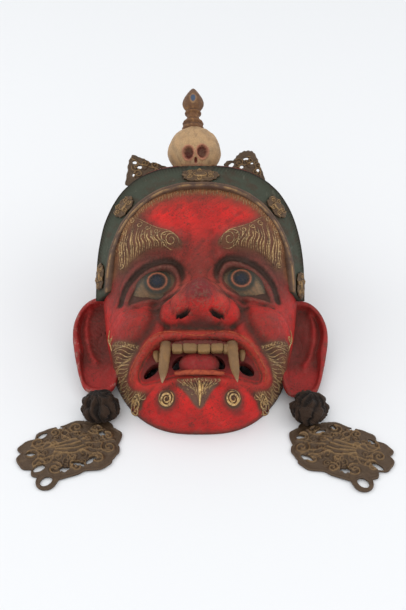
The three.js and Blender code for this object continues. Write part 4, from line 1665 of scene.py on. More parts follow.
    def _lips(self) -> None:
        """Makes the orange line over the upper lip and the strip of the lower lip."""
        upper = Strands(self.form, self.looks, "upper_lip_line")
        parts = (
            [(-86, 66), (-87, 76), (-80, 88), (-70, 100), (-61, 109)],
            [(-60, 110), (-52, 115), (-43, 118), (-33, 117), (-22, 114)],
            [(-20, 113.5), (-8, 111.5), (6, 112), (18, 115)],
            [(19, 115.5), (31, 118), (44, 116), (54, 109), (63, 101)],
            [(65, 99), (73, 89), (81, 76), (80, 64)],
        )
        for part in parts:
            upper.add(round_line(part, False, 8), 0.95)
        piece = upper.build(self.looks.lip)
        bm = bmesh.new()
        line = round_line([(-31, 66.5), (-15, 68), (0, 68.5), (15, 68), (30, 66.5)], False, 10)
        spots, up = self.form.on_skin(even_line(line, 40), -1.2)
        spots[:, 2] = np.maximum(spots[:, 2], 50.0)
        size = 3.4 * np.sin(np.linspace(0.25, math.pi - 0.25, 40)) ** 0.35
        tube(bm, spots, size, up, 0.9, 14)
        place(bm.verts, to_frame(np.array([vert.co[:] for vert in bm.verts])))
        tidy(bm)
        low = finish_piece(bm, "lower_lip", [self.looks.lip])
        for made in (piece, low):
            count = len(made.data.vertices)
            tone = np.tile(np.array((0.42, 0.085, 0.034)), (count, 1))
            p = face_places(made)
            tone = blend(tone, (0.24, 0.034, 0.022), ease(-0.4, 0.7, rough(p, 12.0, 2.0)) * 0.8)
            paint(made, "paint", tone)
            mark(made, "hollow", np.zeros(count))
            mark(made, "rub", np.full(count, 0.2))

    def build(self) -> None:
        """Makes the mouth."""
        self._teeth()
        self._tongue()
        self._lips()


# ---------------------------------------------------------------- ears


@dataclass
class Ear:
    """A long-lobed ear with a rolled rim and a scooped bowl."""

    form: HeadForm
    looks: Finishes
    side: Side
    middle: tuple[float, float] = (140.0, 134.0)
    right_drop: float = 5.0

    @staticmethod
    def outline() -> Rows:
        """Edge of the ear, inner top first."""
        points = [
            (106, 188), (118, 201), (134, 206), (149, 202), (161, 189), (168.5, 168), (169, 146),
                (165, 122),
            (160, 100), (155, 82), (148, 67), (136, 60), (122, 60), (110, 66), (104, 90), (102, 130),
                (102, 165),
        ]
        return round_line(points, True, 8)

    def _edge_radius(self, turn: Rows) -> Rows:
        """Distance from the middle of the ear to its edge at each turn."""
        d = self.outline() - np.asarray(self.middle)
        turns, reach = np.arctan2(d[:, 1], d[:, 0]), np.hypot(d[:, 0], d[:, 1])
        order = np.argsort(turns)
        return np.interp(turn, turns[order], reach[order], period=2 * math.pi)

    def _level(self, u: Rows, v: Rows) -> Rows:
        """The front plane of the ear."""
        return -20.5 - 0.235 * (v - 66.0) + 0.14 * (139.0 - u)

    def build(self) -> None:
        """Makes the ear and paints it."""
        s = self.side.value
        bm = bmesh.new()
        for face in (1, -1):
            before = set(bm.faces)
            made, share = cells(bm, 110, 150)
            turn, radius = disc_share(share)
            reach = self._edge_radius(turn) * radius
            u = self.middle[0] + reach * np.cos(turn)
            v = self.middle[1] + reach * np.sin(turn)
            away = (1.0 - radius) * self._edge_radius(turn)
            if face == 1:
                roll = 4.5 * np.sqrt(np.clip(1 - ((away - 5.0) / 5.0) ** 2, 0, None)) * (away < 10)
                bowl = -8.0 * ease(7.0, 15.0, away) * ease(84, 118, v)
                lobe = -2.5 * ease(7.0, 14.0, away) * (1 - ease(84, 118, v))
                fold = round_line([(148, 190), (152, 168), (150, 145), (144, 122), (136, 108)])
                ridge = 4.2 * np.exp(-((near_line(u, v, fold) / 4.2) ** 2))
                scoop = -4.5 * swell(u, v, (128, 140), (10, 24))
                bump_in = 3.0 * swell(u, v, (114, 128), (5, 9))
                h = roll + bowl + lobe + ridge + scoop + bump_in
                h += 0.35 * rough(np.stack((u, v), axis=1), 17.0, 3.0 + s)
                w = self._level(u, v) + h * ease(0.0, 1.5, away)
            else:
                w = self._level(u, v) - 11.0 * np.sqrt(np.clip(1 - radius**6, 0,
                    1)) + 0.5 * rough(np.stack((u, v), axis=1), 30.0, 1.0)
            floor = -(v * math.sin(PITCH) - 0.5) / math.cos(PITCH)
            w = np.maximum(w, floor)
            low = v - (self.right_drop if self.side is Side.RIGHT else 0.0)
            w = np.maximum(w, -(low * math.sin(PITCH) - 0.5) / math.cos(PITCH))
            place(made, to_frame(np.stack((s * u, low, w), axis=1)))
            if face == -1:
                bmesh.ops.reverse_faces(bm, faces=[f for f in bm.faces if f not in before])
        tidy(bm, 3e-5)
        piece = finish_piece(bm, f"ear_{self.side.word}", [self.looks.face])
        p = face_places(piece)
        u, v = np.abs(p[:, 0]), p[:, 1] + (self.right_drop if self.side is Side.RIGHT else 0.0)
        h = p[:, 2] - self._level(u, v)
        tone = np.tile(np.array((0.34, 0.024, 0.022)), (len(p), 1))
        tone = blend(tone, (0.27, 0.026, 0.022), ease(-0.2, 1.0, rough(p, 40.0, 2.0 + s)) * 0.7)
        front = ease(-11, -7, h)
        # Darker deeper in the bowl of the ear: painted shade.
        tone = blend(tone, (0.20, 0.024, 0.020), (1 - ease(-9.0, -2.0, h)) * front * 0.8)
        tone = blend(tone, (0.085, 0.030, 0.024), (1 - ease(-13.0, -7.5, h)) * front * 0.5)
        tone = blend(tone, (0.20, 0.022, 0.019), (1 - front) * 0.9)
        turn = np.arctan2(v - self.middle[1], u - self.middle[0])
        away = self._edge_radius(turn) - np.hypot(u - self.middle[0], v - self.middle[1])
        wear = (1 - ease(1.0, 6.0, away + 2.5 * rough(p, 9.0, 5.0))) * ease(-0.2, 0.8, rough(p, 33.0, 6.0))
        chip = (0.50, 0.42, 0.36) if self.side is Side.LEFT else (0.085, 0.045, 0.035)
        specks = ease(0.55, 0.75, rough(p, 3.1, 4.0)) * ease(0.0, 0.6, rough(p, 21.0, 3.0))
        tone = blend(tone, chip, wear * 0.35 + specks * 0.55 * (1 - ease(4, 16, away)))
        paint(piece, "paint", tone)
        # The bowl's depth also drives painted shade through the hollow mark.
        mark(piece, "hollow", np.clip((1 - ease(-9.0, -3.0, h)) * 0.45 + 0.1, 0, 1))
        mark(piece, "rub", np.clip(wear * 0.4, 0, 1))


# ---------------------------------------------------------------- the diadem


@dataclass
class Diadem:
    """The painted band with its dark edge and double gilt moulding."""

    band: BandForm
    looks: Finishes
    stations: int = 240

    def _strip(self) -> None:
        """Makes the green strip with its dark outer edge."""
        bm = bmesh.new()
        turn = np.linspace(0.0, math.pi, self.stations + 1)
        outer, inner = self.band.edges(turn)
        along = np.gradient(0.5 * (outer + inner), axis=0)
        along /= np.linalg.norm(along, axis=1, keepdims=True)
        across = inner - outer
        width = np.linalg.norm(across, axis=1, keepdims=True)
        across /= width
        out = np.cross(across, along)
        out *= np.sign(out[:, 2:3].sum())
        profile = [
            (0.0, -24.0, 0), (-1.2, -12.0, 0), (-1.4, -3.0, 0), (-1.1, -0.9, 0), (0.0, 0.2, 0),
                (1.3, 0.5, 0), (2.0, 0.1, 0),
            (2.4, -0.7, 1), (4.5, -0.6, 1), (8.0, -0.4, 1), (-9.6, -0.5, 2), (-8.9, -0.2, 3),
                (-8.2, 1.2, 3), (-6.9, 1.9, 3),
            (-5.6, 1.3, 3), (-4.9, 0.1, 3), (-4.3, 0.5, 4), (-3.2, 1.9, 4), (-1.9, 2.3, 4), (-0.6, 1.4, 4),
                (0.1, -0.4, 4),
            (0.3, -4.0, 4), (0.2, -14.0, 4),
        ]
        made, share = cells(bm, len(profile), self.stations)
        column = np.rint(share[:, 0] * len(profile)).astype(int) % len(profile)
        row = np.rint(share[:, 1] * self.stations).astype(int)
        table = np.array(profile)
        reach, lift, kind = table[column, 0], table[column, 1], table[column, 2]
        w = width[row, 0]
        reach = np.where(kind >= 2, w + reach, reach)
        reach = np.where((kind == 1) & (table[column, 0] > 4.0),
            table[column, 0] / 10.0 * (w - 10.0) * 0.9 + 1.0, reach)
        spots = outer[row] + across[row] * reach[:, None] + out[row] * lift[:, None]
        spots += out[row] * (0.35 * rough(spots, 30.0, 4.0))[:, None] * (lift > -1.5)[:, None]
        place(made, to_frame(spots))
        columns = {vert: int(c) for vert, c in zip(made, column)}
        for face in bm.faces:
            kinds = [table[columns[vert], 2] for vert in face.verts]
            face.material_index = 1 if min(kinds) >= 2 else 0
        tidy(bm, 2e-6)
        piece = finish_piece(bm, "diadem_band", [self.looks.band, self.looks.gilding])
        p = face_places(piece)
        count = len(p)
        lifts = np.full(count, 0.35)
        d_out = np.full(count, 1e9)
        d_in = np.full(count, 1e9)
        normal_lift = np.zeros(count)
        for k in range(0, self.stations + 1, 2):
            gap = p - inner[k]
            near = np.abs(gap @ along[k])
            close = near < 2.6
            height = gap @ out[k]
            side = -(gap @ across[k])
            take = close & (np.abs(side) < 14) & (near < d_in)
            d_in[take] = near[take]
            normal_lift[take] = height[take]
            d_out[take] = side[take]
        d_rim = np.full(count, 1e9)
        for k in range(0, self.stations + 1, 2):
            gap = p - outer[k]
            close = np.abs(gap @ along[k]) < 2.6
            d_rim[close] = np.minimum(d_rim[close], np.abs(gap[close] @ across[k]))
        mark(piece, "rim", 1 - ease(1.2, 2.8, d_rim))
        crest = ease(0.2, 2.2, normal_lift) * (d_out < 4.6)
        lifts = np.where(d_out < 11, 0.06 + 0.62 * crest + 0.20 * ease(0.8, 1.9, normal_lift)
            * (d_out >= 4.6), lifts)
        mark(piece, "lift", lifts)

    def build(self) -> None:
        """Makes the diadem."""
        self._strip()


# ---------------------------------------------------------------- pierced and embossed brass


@dataclass
class Embossed:
    """A sheet of brass with a scalloped edge, raised scrolls and cut openings."""

    name: str
    looks: Finishes
    outline: Rows
    ridges: list[tuple[Rows, float, float]]
    holes: list[Rows]
    knobs: list[tuple[float, float, float, float, float]]
    seat: Callable[[Rows], Rows]
    thickness: float = 1.6
    bow: float = 0.0
    grid: tuple[int, int] = (190, 130)
    slot: str = "aged_brass"
    node: str = ""
    finish: Optional[Finish] = None

    def _edge(self, turn: Rows) -> Rows:
        """Distance from the middle to the edge at each turn."""
        turns = np.arctan2(self.outline[:, 1], self.outline[:, 0])
        reach = np.hypot(self.outline[:, 0], self.outline[:, 1])
        order = np.argsort(turns)
        return np.interp(turn, turns[order], reach[order], period=2 * math.pi)

    def _relief(self, x: Rows, y: Rows, away: Rows) -> Rows:
        """Height of the embossing."""
        h = 0.9 * np.exp(-(((away - 1.8) / 1.3) ** 2))
        for line, width, height in self.ridges:
            d = near_line(x, y, line)
            h = np.maximum(h, height * np.exp(-((d / width) ** 2)) + 0.25 * h)
        for kx, ky, rx, ry, height in self.knobs:
            h += height * knob(x, y, (kx, ky), (rx, ry))
        for hole in self.holes:
            d = -depth_inside(x, y, hole)
            h += 0.8 * np.exp(-(((d - 1.6) / 1.1) ** 2))
        h += 0.22 * rough(np.stack((x, y), axis=1), 5.5, 3.0) + 0.12 * rough(np.stack((x, y), axis=1), 2.3,
            6.0)
        return h

    def build(self) -> bpy.types.Object:
        """Makes the sheet.

        Returns:
            The piece.
        """
        bm = bmesh.new()
        layer = bm.verts.layers.float.new("lift")
        made, share = cells(bm, *self.grid)
        turn, radius = disc_share(share)
        reach = self._edge(turn)
        x, y = reach * radius * np.cos(turn), reach * radius * np.sin(turn)
        away = (1 - radius) * reach
        h = self._relief(x, y, away)
        dome = sum(height * knob(x, y, (kx, ky), (rx, ry)) for kx, ky, rx, ry, height in self.knobs)
        crest = h - 0.8 * dome
        arch = self.bow * (1 - radius**2)
        spots = np.stack((x, y, self.thickness + h + arch), axis=1)
        low, high = np.percentile(crest, 8), np.percentile(crest, 98)
        open_depth = np.full(len(x), -1e9)
        for hole in self.holes:
            open_depth = np.maximum(open_depth, depth_inside(x, y, hole))
        for vert, spot, value in zip(made, spots.tolist(), crest.tolist()):
            vert.co = spot
            vert[layer] = (value - low) / (high - low)
        gone = {vert for vert, d in zip(made, open_depth) if d > 0.0}
        bmesh.ops.delete(bm, geom=[f for f in bm.faces if any(v in gone for v in f.verts)], context="FACES")
        loose = [v for v in bm.verts if not v.link_faces]
        bmesh.ops.delete(bm, geom=loose, context="VERTS")
        for _ in range(3):
            edge_verts = [v for v in bm.verts if v.is_boundary]
            bmesh.ops.smooth_vert(bm, verts=edge_verts, factor=0.5, use_axis_x=True, use_axis_y=True,
                use_axis_z=False)
        top = list(bm.faces)
        back = bmesh.ops.duplicate(bm, geom=list(bm.verts) + list(bm.edges) + top)
        back_faces = [g for g in back["geom"] if isinstance(g, bmesh.types.BMFace)]
        back_verts = [g for g in back["geom"] if isinstance(g, bmesh.types.BMVert)]
        flat = np.array([v.co[:] for v in back_verts])
        turn2 = np.arctan2(flat[:, 1], flat[:, 0])
        r2 = np.clip(np.hypot(flat[:, 0], flat[:, 1]) / self._edge(turn2), 0, 1)
        flat[:, 2] = np.minimum(self.bow * (1 - r2**2) + 0.25
            * (flat[:, 2] - self.thickness - self.bow * (1 - r2**2)), flat[:, 2] - 0.6)
        place(back_verts, flat)
        bmesh.ops.reverse_faces(bm, faces=back_faces)
        pairs = back["vert_map"]
        upper = set(top)
        open_edges = [e for e in bm.edges if e.is_boundary and e.link_faces[0] in upper]
        rims = [e for e in open_edges if all(v in pairs for v in e.verts)]
        for edge in rims:
            a, b = edge.verts
            c, d = pairs[b], pairs[a]
            try:
                bm.faces.new((a, b, c, d))
            except ValueError:
                continue
        spots = np.array([v.co[:] for v in bm.verts])
        place(bm.verts, self.seat(spots))
        bmesh.ops.recalc_face_normals(bm, faces=bm.faces)
        piece = finish_piece(bm, self.name, [self.finish or self.looks.brass])
        if self.node:
            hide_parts(self.node)
        return piece


def scallop(length: float, width: float, lobes: int, depth: float, phase: float = 0.0) -> Rows:
    """A scalloped oval edge.

    Args:
        length: half its length.
        width: half its width.
        lobes: number of lobes.
        depth: share by which the valleys are drawn in.
        phase: turn of the lobes.

    Returns:
        The closed line.
    """
    t = np.linspace(0, 2 * math.pi, 20 * lobes, endpoint=False)
    reach = 1 - depth * (1 - np.abs(np.cos(0.5 * lobes * t + phase)) ** 0.8)
    reach += 0.022 * np.sin(3 * t + 1.0) + 0.024 * np.sin(5 * t + 0.4) + 0.013 * np.sin(19 * t)
    return np.stack((length * reach * power(np.cos(t), 0.84), width * reach * power(np.sin(t), 0.84)),
        axis=1)


def oval(at: Sequence[float], length: float, width: float, lean: float, pinch: float = 0.0) -> Rows:
    """A closed oval or bean line."""
    t = np.linspace(0, 2 * math.pi, 26, endpoint=False)
    x = length * np.cos(t)
    y = width * np.sin(t) + pinch * (x / max(length, 1e-6)) ** 2
    return np.stack((at[0] + x * math.cos(lean) - y * math.sin(lean),
        at[1] + x * math.sin(lean) + y * math.cos(lean)), axis=1)


@dataclass
class EarOrnament:
    """A large openwork ornament of leafy scrolls, lying on the table."""

    looks: Finishes
    side: Side
    middle: tuple[float, float]
    lean: float
    length: float = 66.0
    width: float = 44.0
    loop: tuple[float, float] = (40.0, -41.0)
    loop_radius: float = 12.5

    def _outline(self) -> Rows:
        """Edge of the sheet: uneven lobes and the loop at the lower outer corner."""
        edge = scallop(self.length, self.width, 10, 0.11, 0.4)
        turn = np.arctan2(edge[:, 1], edge[:, 0])
        edge = edge * (1 - 0.08 * np.exp(-(((turn + 2.68) / 0.12) ** 2)))[:, None]
        reach = np.hypot(edge[:, 0], edge[:, 1])
        way = edge / reach[:, None]
        off = self.loop[0] * way[:, 1] - self.loop[1] * way[:, 0]
        ring = way @ np.array(self.loop) + np.sqrt(np.clip(self.loop_radius**2 - off**2, 0, None))
        ring = np.where(np.abs(off) < self.loop_radius, ring, 0.0)
        return way * np.maximum(reach, ring)[:, None]

    def _seat(self, p: Rows) -> Rows:
        """Lays the sheet on the table with a slight natural warp."""
        s = self.side.value
        x, y = p[:, 0] * s, p[:, 1]
        c, d = math.cos(self.lean), math.sin(self.lean)
        warp = 0.5 + 0.9 * (1 + np.sin(x * 0.045 + 0.6)) * 0.5
        return floor_frame(np.stack((self.middle[0] + x * c - y * d, self.middle[1] + x * d + y * c,
            p[:, 2] + warp), axis=1))

    def build(self) -> None:
        """Makes the ornament."""
        ridges: list[tuple[Rows, float, float]] = []
        for k in range(11):
            turn = 2 * math.pi * (k + 0.25) / 11
            spot = (self.length * 0.73 * math.cos(turn), self.width * 0.72 * math.sin(turn))
            spin = 1.0 if k % 2 else -1.0
            ridges.append((curl(spot, 9.0 + 1.8 * math.sin(2.2 * k), turn + 2.6 * spin, 1.45, spin, 20),
                1.8, 3.0))
        for k in range(24):
            turn = 2 * math.pi * (k + 0.3) / 24
            at = (self.length * (0.50 + 0.14 * math.sin(2.3 * k)) * math.cos(turn),
                self.width * (0.50 + 0.14 * math.sin(2.3 * k)) * math.sin(turn))
            ridges.append((curl(at, 5.5, 1.9 * k, 1.2, 1.0 if k % 2 else -1.0, 14), 1.1, 2.3))
        for k in range(13):
            turn = 2 * math.pi * (k + 0.6) / 13
            grow = 1 + 0.22 * math.sin(3.7 * k)
            bend = 0.45 * math.cos(2.9 * k)
            a = np.array((math.cos(turn) * 19, math.sin(turn) * 13)) * grow
            b = np.array((math.cos(turn + bend) * 38, math.sin(turn + bend) * 25))
            c = np.array((math.cos(turn + 0.5 * bend) * 53, math.sin(turn + 0.5 * bend) * 35))
            ridges.append((round_line([a, b, c]), 1.7, 2.4))
            ridges.append((round_line([a * 1.1, 0.5 * (a + c) * 1.02, c * 0.95]), 1.1, 1.9))
        for k in range(4):
            rib = [(-18 + 3 * k, -9 + 5.5 * k), (-4, -12 + 7 * k), (12 - k, -8 + 5.5 * k), (21 - 2 * k, -2 + 3 * k)]
            ridges.append((round_line(rib), 1.8, 2.8))
        holes = [
            oval(self.loop, 7.6, 5.2, -0.5), oval((15, -31), 6.0, 3.0, 0.2, 0.8), oval((7, 38), 4.0, 2.0, 0.1),
        ]
        if self.side is Side.LEFT:
            holes += [
                oval((44, -19), 7.0, 3.6, -0.2), oval((49, 5), 6.0, 3.0, 0.5), oval((29, 32), 6.5, 3.0, -0.4),
                oval((-2, -28), 7.5, 2.4, 0.5), oval((-18, -27), 7.0, 2.6, -0.4), oval((-41, 11), 4.5, 2.6, 1.0),
            ]
        else:
            holes += [
                oval((50, -11), 7.5, 3.4, -0.3), oval((33, 26), 4.5, 2.2, -0.5), oval((-33, -27), 8.0, 2.8, -0.3),
                oval((-30, 20), 7.0, 2.6, 0.9), oval((-17, 32), 5.0, 2.2, -0.6), oval((-50, 3), 5.0, 2.6, 0.2),
            ]
        knobs = [
            (1, 3, 32, 22, 3.2), (-14, 6, 14, 6, 1.8), (9, -3, 9, 7, 1.4), (-48, 12, 8, 6, 2.2),
            (40, -1, 8, 6, 2.0), (-12, -13, 8, 5, 1.8), (20, 13, 11, 6, 2.2),
        ]
        outline = self._outline()
        Embossed(
            f"openwork_ear_ornament_{self.side.word}", self.looks, outline, ridges, holes, knobs,
                self._seat,
            thickness=1.5, bow=1.5, grid=(240, 170), node=f"ornament_{self.side.word}",
        ).build()


@dataclass
class CrownPlate:
    """An openwork brass plate standing behind the diadem."""

    looks: Finishes
    side: Side
    middle: tuple[float, float]
    lean: float
    half_length: float
    half_height: float

    def _seat(self, p: Rows) -> Rows:
        """Stands the plate behind the diadem."""
        s = self.side.value
        x, y = p[:, 0] * s, p[:, 1]
        c, d = math.cos(self.lean), math.sin(self.lean)
        return to_frame(np.stack((self.middle[0] + x * c - y * d, self.middle[1] + x * d + y * c,
            p[:, 2] + 9.0), axis=1))

    def build(self) -> None:
        """Makes the plate."""
        a, b = self.half_length, self.half_height
        if self.side is Side.LEFT:
            points = [(28, -27), (27, -8), (25.5, 8), (20, 19), (12, 16), (5, 13), (-5, 7), (-12, 7),
                (-20, 3), (-29, -1),
                      (-30, -16), (-12, -28), (10, -30)]
        else:
            points = [(-32, 0), (-27, 7), (-19, 8), (-14, 15), (-7, 21), (2, 23), (9, 20), (14, 9),
                (18, -3), (23, -20),
                      (20, -30), (-6, -30), (-28, -16)]
        outline = round_line(points, True, 8)
        t = np.arange(len(outline))
        outline *= (1 + 0.022 * np.sin(t * 1.15))[:, None]
        ridges = []
        for k in range(6):
            turn = 2 * math.pi * (k + 0.3) / 6
            spot = (a * 0.5 * math.cos(turn), b * 0.42 * math.sin(turn) - 4)
            ridges.append((curl(spot, 6.5, turn, 1.4, 1.0 if k % 2 else -1.0, 18), 1.3, 2.0))
        ridges.append((round_line([(-a * 0.8, -8), (-a * 0.3, -2), (a * 0.3, 4), (a * 0.7, 14)]), 1.4, 1.8))
        if self.side is Side.LEFT:
            holes = [oval((17, 7), 2.6, 1.7, 0.3), oval((10, -0.5), 2.8, 2.0, 0.2),
                oval((-19, -4), 2.8, 2.0, 0.0),
                     oval((18, -12), 1.6, 1.2, 0.9)]
        else:
            holes = [oval((-22, 0), 4.0, 2.2, 0.9), oval((-2, 9.5), 3.4, 1.5, 0.1),
                oval((-8, -3), 2.2, 1.6, 0.4),
                     oval((14, -8), 2.2, 1.6, 1.0), oval((6, 2), 2.0, 1.3, 0.4)]
        knobs = [(a * 0.15, 0, 6, 5, 2.0), (-a * 0.2, -12, 5, 4, 1.4)]
        Embossed(
            f"crown_openwork_{self.side.word}", self.looks, outline, ridges, holes, knobs, self._seat,
                thickness=1.2,
            bow=0.6, grid=(120, 96), node=f"crown_{self.side.word}",
        ).build()


@dataclass
class Plaque:
    """A small embossed plaque seated on the diadem."""

    looks: Finishes
    band: BandForm
    name: str
    node: str
    turn: float
    half_length: float
    half_width: float
    lobes: int = 6
    outward: float = 0.0

    def _seat(self, p: Rows) -> Rows:
        """Seats the plaque on the strip."""
        middle, along, across, out = self.band.seat(self.turn)
        away = np.sign(middle[0] * across[0]) * across if abs(across[0]) > 0.3 else across
        middle = middle + away * self.outward
        return to_frame(middle + p[:, :1] * along + p[:, 1:2] * across + (p[:, 2:] + 0.2) * out)

    def build(self) -> None:
        """Makes the plaque."""
        a, b = self.half_length, self.half_width
        ridges = []
        for k in range(self.lobes):
            turn = 2 * math.pi * (k + 0.5) / self.lobes
            spot = (a * 0.62 * math.cos(turn), b * 0.60 * math.sin(turn))
            ridges.append((curl(spot, min(a, b) * 0.34, turn, 1.3, 1.0 if k % 2 else -1.0, 16), 1.0, 1.9))
        ridges.append((oval((0, 0), a * 0.34, b * 0.36, 0.0), 0.9, 2.0))
        knobs = [(0, 0, a * 0.3, b * 0.34, 3.4), (a * 0.78, 0, 2.6, 2.6, 1.4),
            (-a * 0.78, 0, 2.6, 2.6, 1.4)]
        Embossed(
            self.name, self.looks, scallop(a, b, self.lobes * 2, 0.12), ridges, [], knobs, self._seat,
                thickness=1.6,
            bow=1.0, grid=(84, 64), slot="plaque_brass", node=self.node, finish=self.looks.plaque,
        ).build()


# ---------------------------------------------------------------- skull and finial


@dataclass
class Skull:
    """The small ivory-painted skull on top of the head."""

    looks: Finishes
    u: float = -8.0
    v: float = 389.0
    w: float = 15.0
    radius: float = 36.0

    def build(self) -> None:
        """Makes the skull and paints its hollows."""
        bm = bmesh.new()
        made = bmesh.ops.create_uvsphere(bm, u_segments=150, v_segments=110, radius=1.0)["verts"]
        ball = np.array([vert.co[:] for vert in made])
        x, y, z = ball[:, 0], ball[:, 1], ball[:, 2]
        jaw = 1 - 0.25 * ease(0.0, 1.0, -y)
        face = ease(0.0, 0.25, z)
        sockets = ((-0.23, -0.36), (0.32, -0.31))
        dent = np.zeros(len(x))
        for sx, sy in sockets:
            away = np.hypot((x - sx) / 0.205, (y - sy) / 0.20)
            dent += 0.17 * np.sqrt(np.clip(1 - away**2, 0, None)) * face
            dent -= 0.035 * np.exp(-(((away - 1.12) / 0.16) ** 2)) * face
        nose = np.hypot((x - 0.07) / 0.075, (y + 0.585) / 0.10)
        dent += 0.10 * np.clip(1 - nose**2, 0, None) * face
        dent -= 0.03 * swell(x, y, (0.0, 0.0), (0.5, 0.16)) * face
        teeth = ease(-0.97, -0.85, y) * (1 - ease(-0.80, -0.72, y)) * face
        dent += 0.03 * teeth * (0.5 + 0.5 * np.cos(x * 42))
        dent += 0.02 * rough(ball, 0.7, 3.0) + 0.006 * rough(ball, 0.18, 6.0)
        spots = np.stack((x * jaw, y * 1.05, z * 0.92 * jaw), axis=1) * self.radius
        spots -= ball * (dent * self.radius)[:, None]
        spots += np.array((self.u, self.v, self.w))
        place(made, to_frame(spots))
        piece = finish_piece(bm, "small_skull", [self.looks.ivory])
        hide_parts("skull")
        tone = np.tile(np.array((0.47, 0.295, 0.150)), (len(x), 1))
        tone = blend(tone, (0.36, 0.25, 0.14), ease(-0.1, 0.9, rough(ball, 0.9, 1.0)) * 0.6)
        tone = blend(tone, (0.24, 0.15, 0.08), ease(0.3, 1.0, rough(ball, 0.33, 4.0)) * 0.55)
        tone = blend(tone, (0.30, 0.19, 0.11), 1 - ease(-0.35, 0.15, z))
        for sx, sy in sockets:
            away = np.hypot((x - sx) / 0.205, (y - sy) / 0.20) + 0.06 * rough(ball, 0.2, 2.0)
            tone = blend(tone, (0.40, 0.10, 0.075), (1 - ease(1.0, 1.5, away)) * face * 0.65)
            tone = blend(tone, (0.080, 0.010, 0.010), (1 - ease(0.80, 1.02, away)) * face)
        tone = blend(tone, (0.15, 0.018, 0.016), (1 - ease(0.7, 1.15, nose)) * face)
        tone = blend(tone, (0.42, 0.12, 0.085), (1 - ease(-0.74, -0.60, y)) * face * 0.55)
        tone = blend(tone, (0.26, 0.035, 0.028), teeth * ease(0.3, 0.7, 0.5 + 0.5 * np.cos(x * 42)) * 0.9)
        seam = np.exp(-(((x - 0.03 * np.sin(y * 20)) / 0.018) ** 2)) * ease(0.2, 0.4, y) * face
        tone = blend(tone, (0.20, 0.12, 0.07), seam * 0.5)
        paint(piece, "paint", tone)


@dataclass
class Finial:
    """The bud-shaped finial: ringed foot, waist and a pointed bud with a blue stone."""

    looks: Finishes
    u: float = -10.0
    foot_v: float = 422.2
    w: float = 15.0
    height: float = 69.5

    def build(self) -> None:
        """Spins the finial and paints it."""
        profile = [
            (0.0, 0.0), (10.5, 0.0), (13.2, 1.2), (14.8, 3.6), (14.8, 6.2), (13.6, 8.0), (12.2, 9.4),
                (13.8, 11.0), (14.2, 13.0),
            (12.8, 15.0), (10.6, 17.0), (9.0, 19.6), (8.3, 22.6), (8.7, 25.4), (11.0, 26.8), (11.4, 28.6),
                (9.8, 30.4), (9.1, 32.0),
            (11.6, 35.0), (13.8, 39.4), (14.3, 43.4), (13.2, 48.4), (10.4, 54.0), (7.0, 59.2), (4.0, 63.2),
                (1.9, 65.4), (0.0, 66.0),
        ]
        line = even_line(round_line(profile, False, 6), 120)
        line[:, 0] = np.clip(line[:, 0], 0, None)
        bm = bmesh.new()
        verts = [bm.verts.new((r, 0.0, h)) for r, h in line]
        edges = [bm.edges.new(pair) for pair in zip(verts[:-1], verts[1:])]
        bmesh.ops.spin(
            bm, geom=verts + edges, cent=(0, 0, 0), axis=(0, 0, 1), angle=2 * math.pi, steps=72,
                use_merge=True, use_duplicate=False
        )
        bmesh.ops.remove_doubles(bm, verts=bm.verts, dist=1e-4)
        flat = np.array([vert.co[:] for vert in bm.verts])
        turn = np.arctan2(flat[:, 1], flat[:, 0])
        petal = ease(31, 35, flat[:, 2]) * (1 - ease(50, 60, flat[:, 2]))
        grow = 1 + 0.035 * petal * np.cos(6 * turn) + 0.02 * (1 - petal) * np.cos(12
            * turn) * (flat[:, 2] < 15)
        grow *= 1 + 0.012 * rough(flat, 9.0, 2.0)
        x, y, h = flat[:, 0] * grow, flat[:, 1] * grow, flat[:, 2] * self.height / 66.0
        spots = np.stack((self.u + x, self.foot_v + h, self.w - y), axis=1)
        place(bm.verts, to_frame(spots))
        bmesh.ops.recalc_face_normals(bm, faces=bm.faces)
        piece = finish_piece(bm, "bud_finial", [self.looks.bud])
        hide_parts("finial")
        h = flat[:, 2]
        tone = np.tile(np.array((0.175, 0.082, 0.036)), (len(h), 1))
        tone = blend(tone, (0.34, 0.17, 0.060), ease(0.0, 0.9, rough(flat, 11.0, 1.0)) * 0.7)
        tone = blend(tone, (0.12, 0.05, 0.028), ease(0.1, 0.9, rough(flat, 6.0, 4.0)) * 0.6)
        for ring in (7.8, 17.0, 30.6):
            tone = blend(tone, (0.050, 0.026, 0.018), np.exp(-(((h - ring) / 1.1) ** 2)) * 0.9)
        tone = blend(tone, (0.115, 0.060, 0.034), ease(33, 37, h) * 0.5)
        stone = np.hypot(flat[:, 0] / 3.8, (h - 45.0) / 6.0)
        front = ease(0.2, 0.5, -flat[:, 1] / 10.0)
        tone = blend(tone, (0.30, 0.17, 0.08), (1 - ease(1.1, 1.5, stone)) * front)
        tone = blend(tone, (0.055, 0.090, 0.150), (1 - ease(0.8, 1.05, stone)) * front)
        paint(piece, "paint", tone)


# ---------------------------------------------------------------- silk


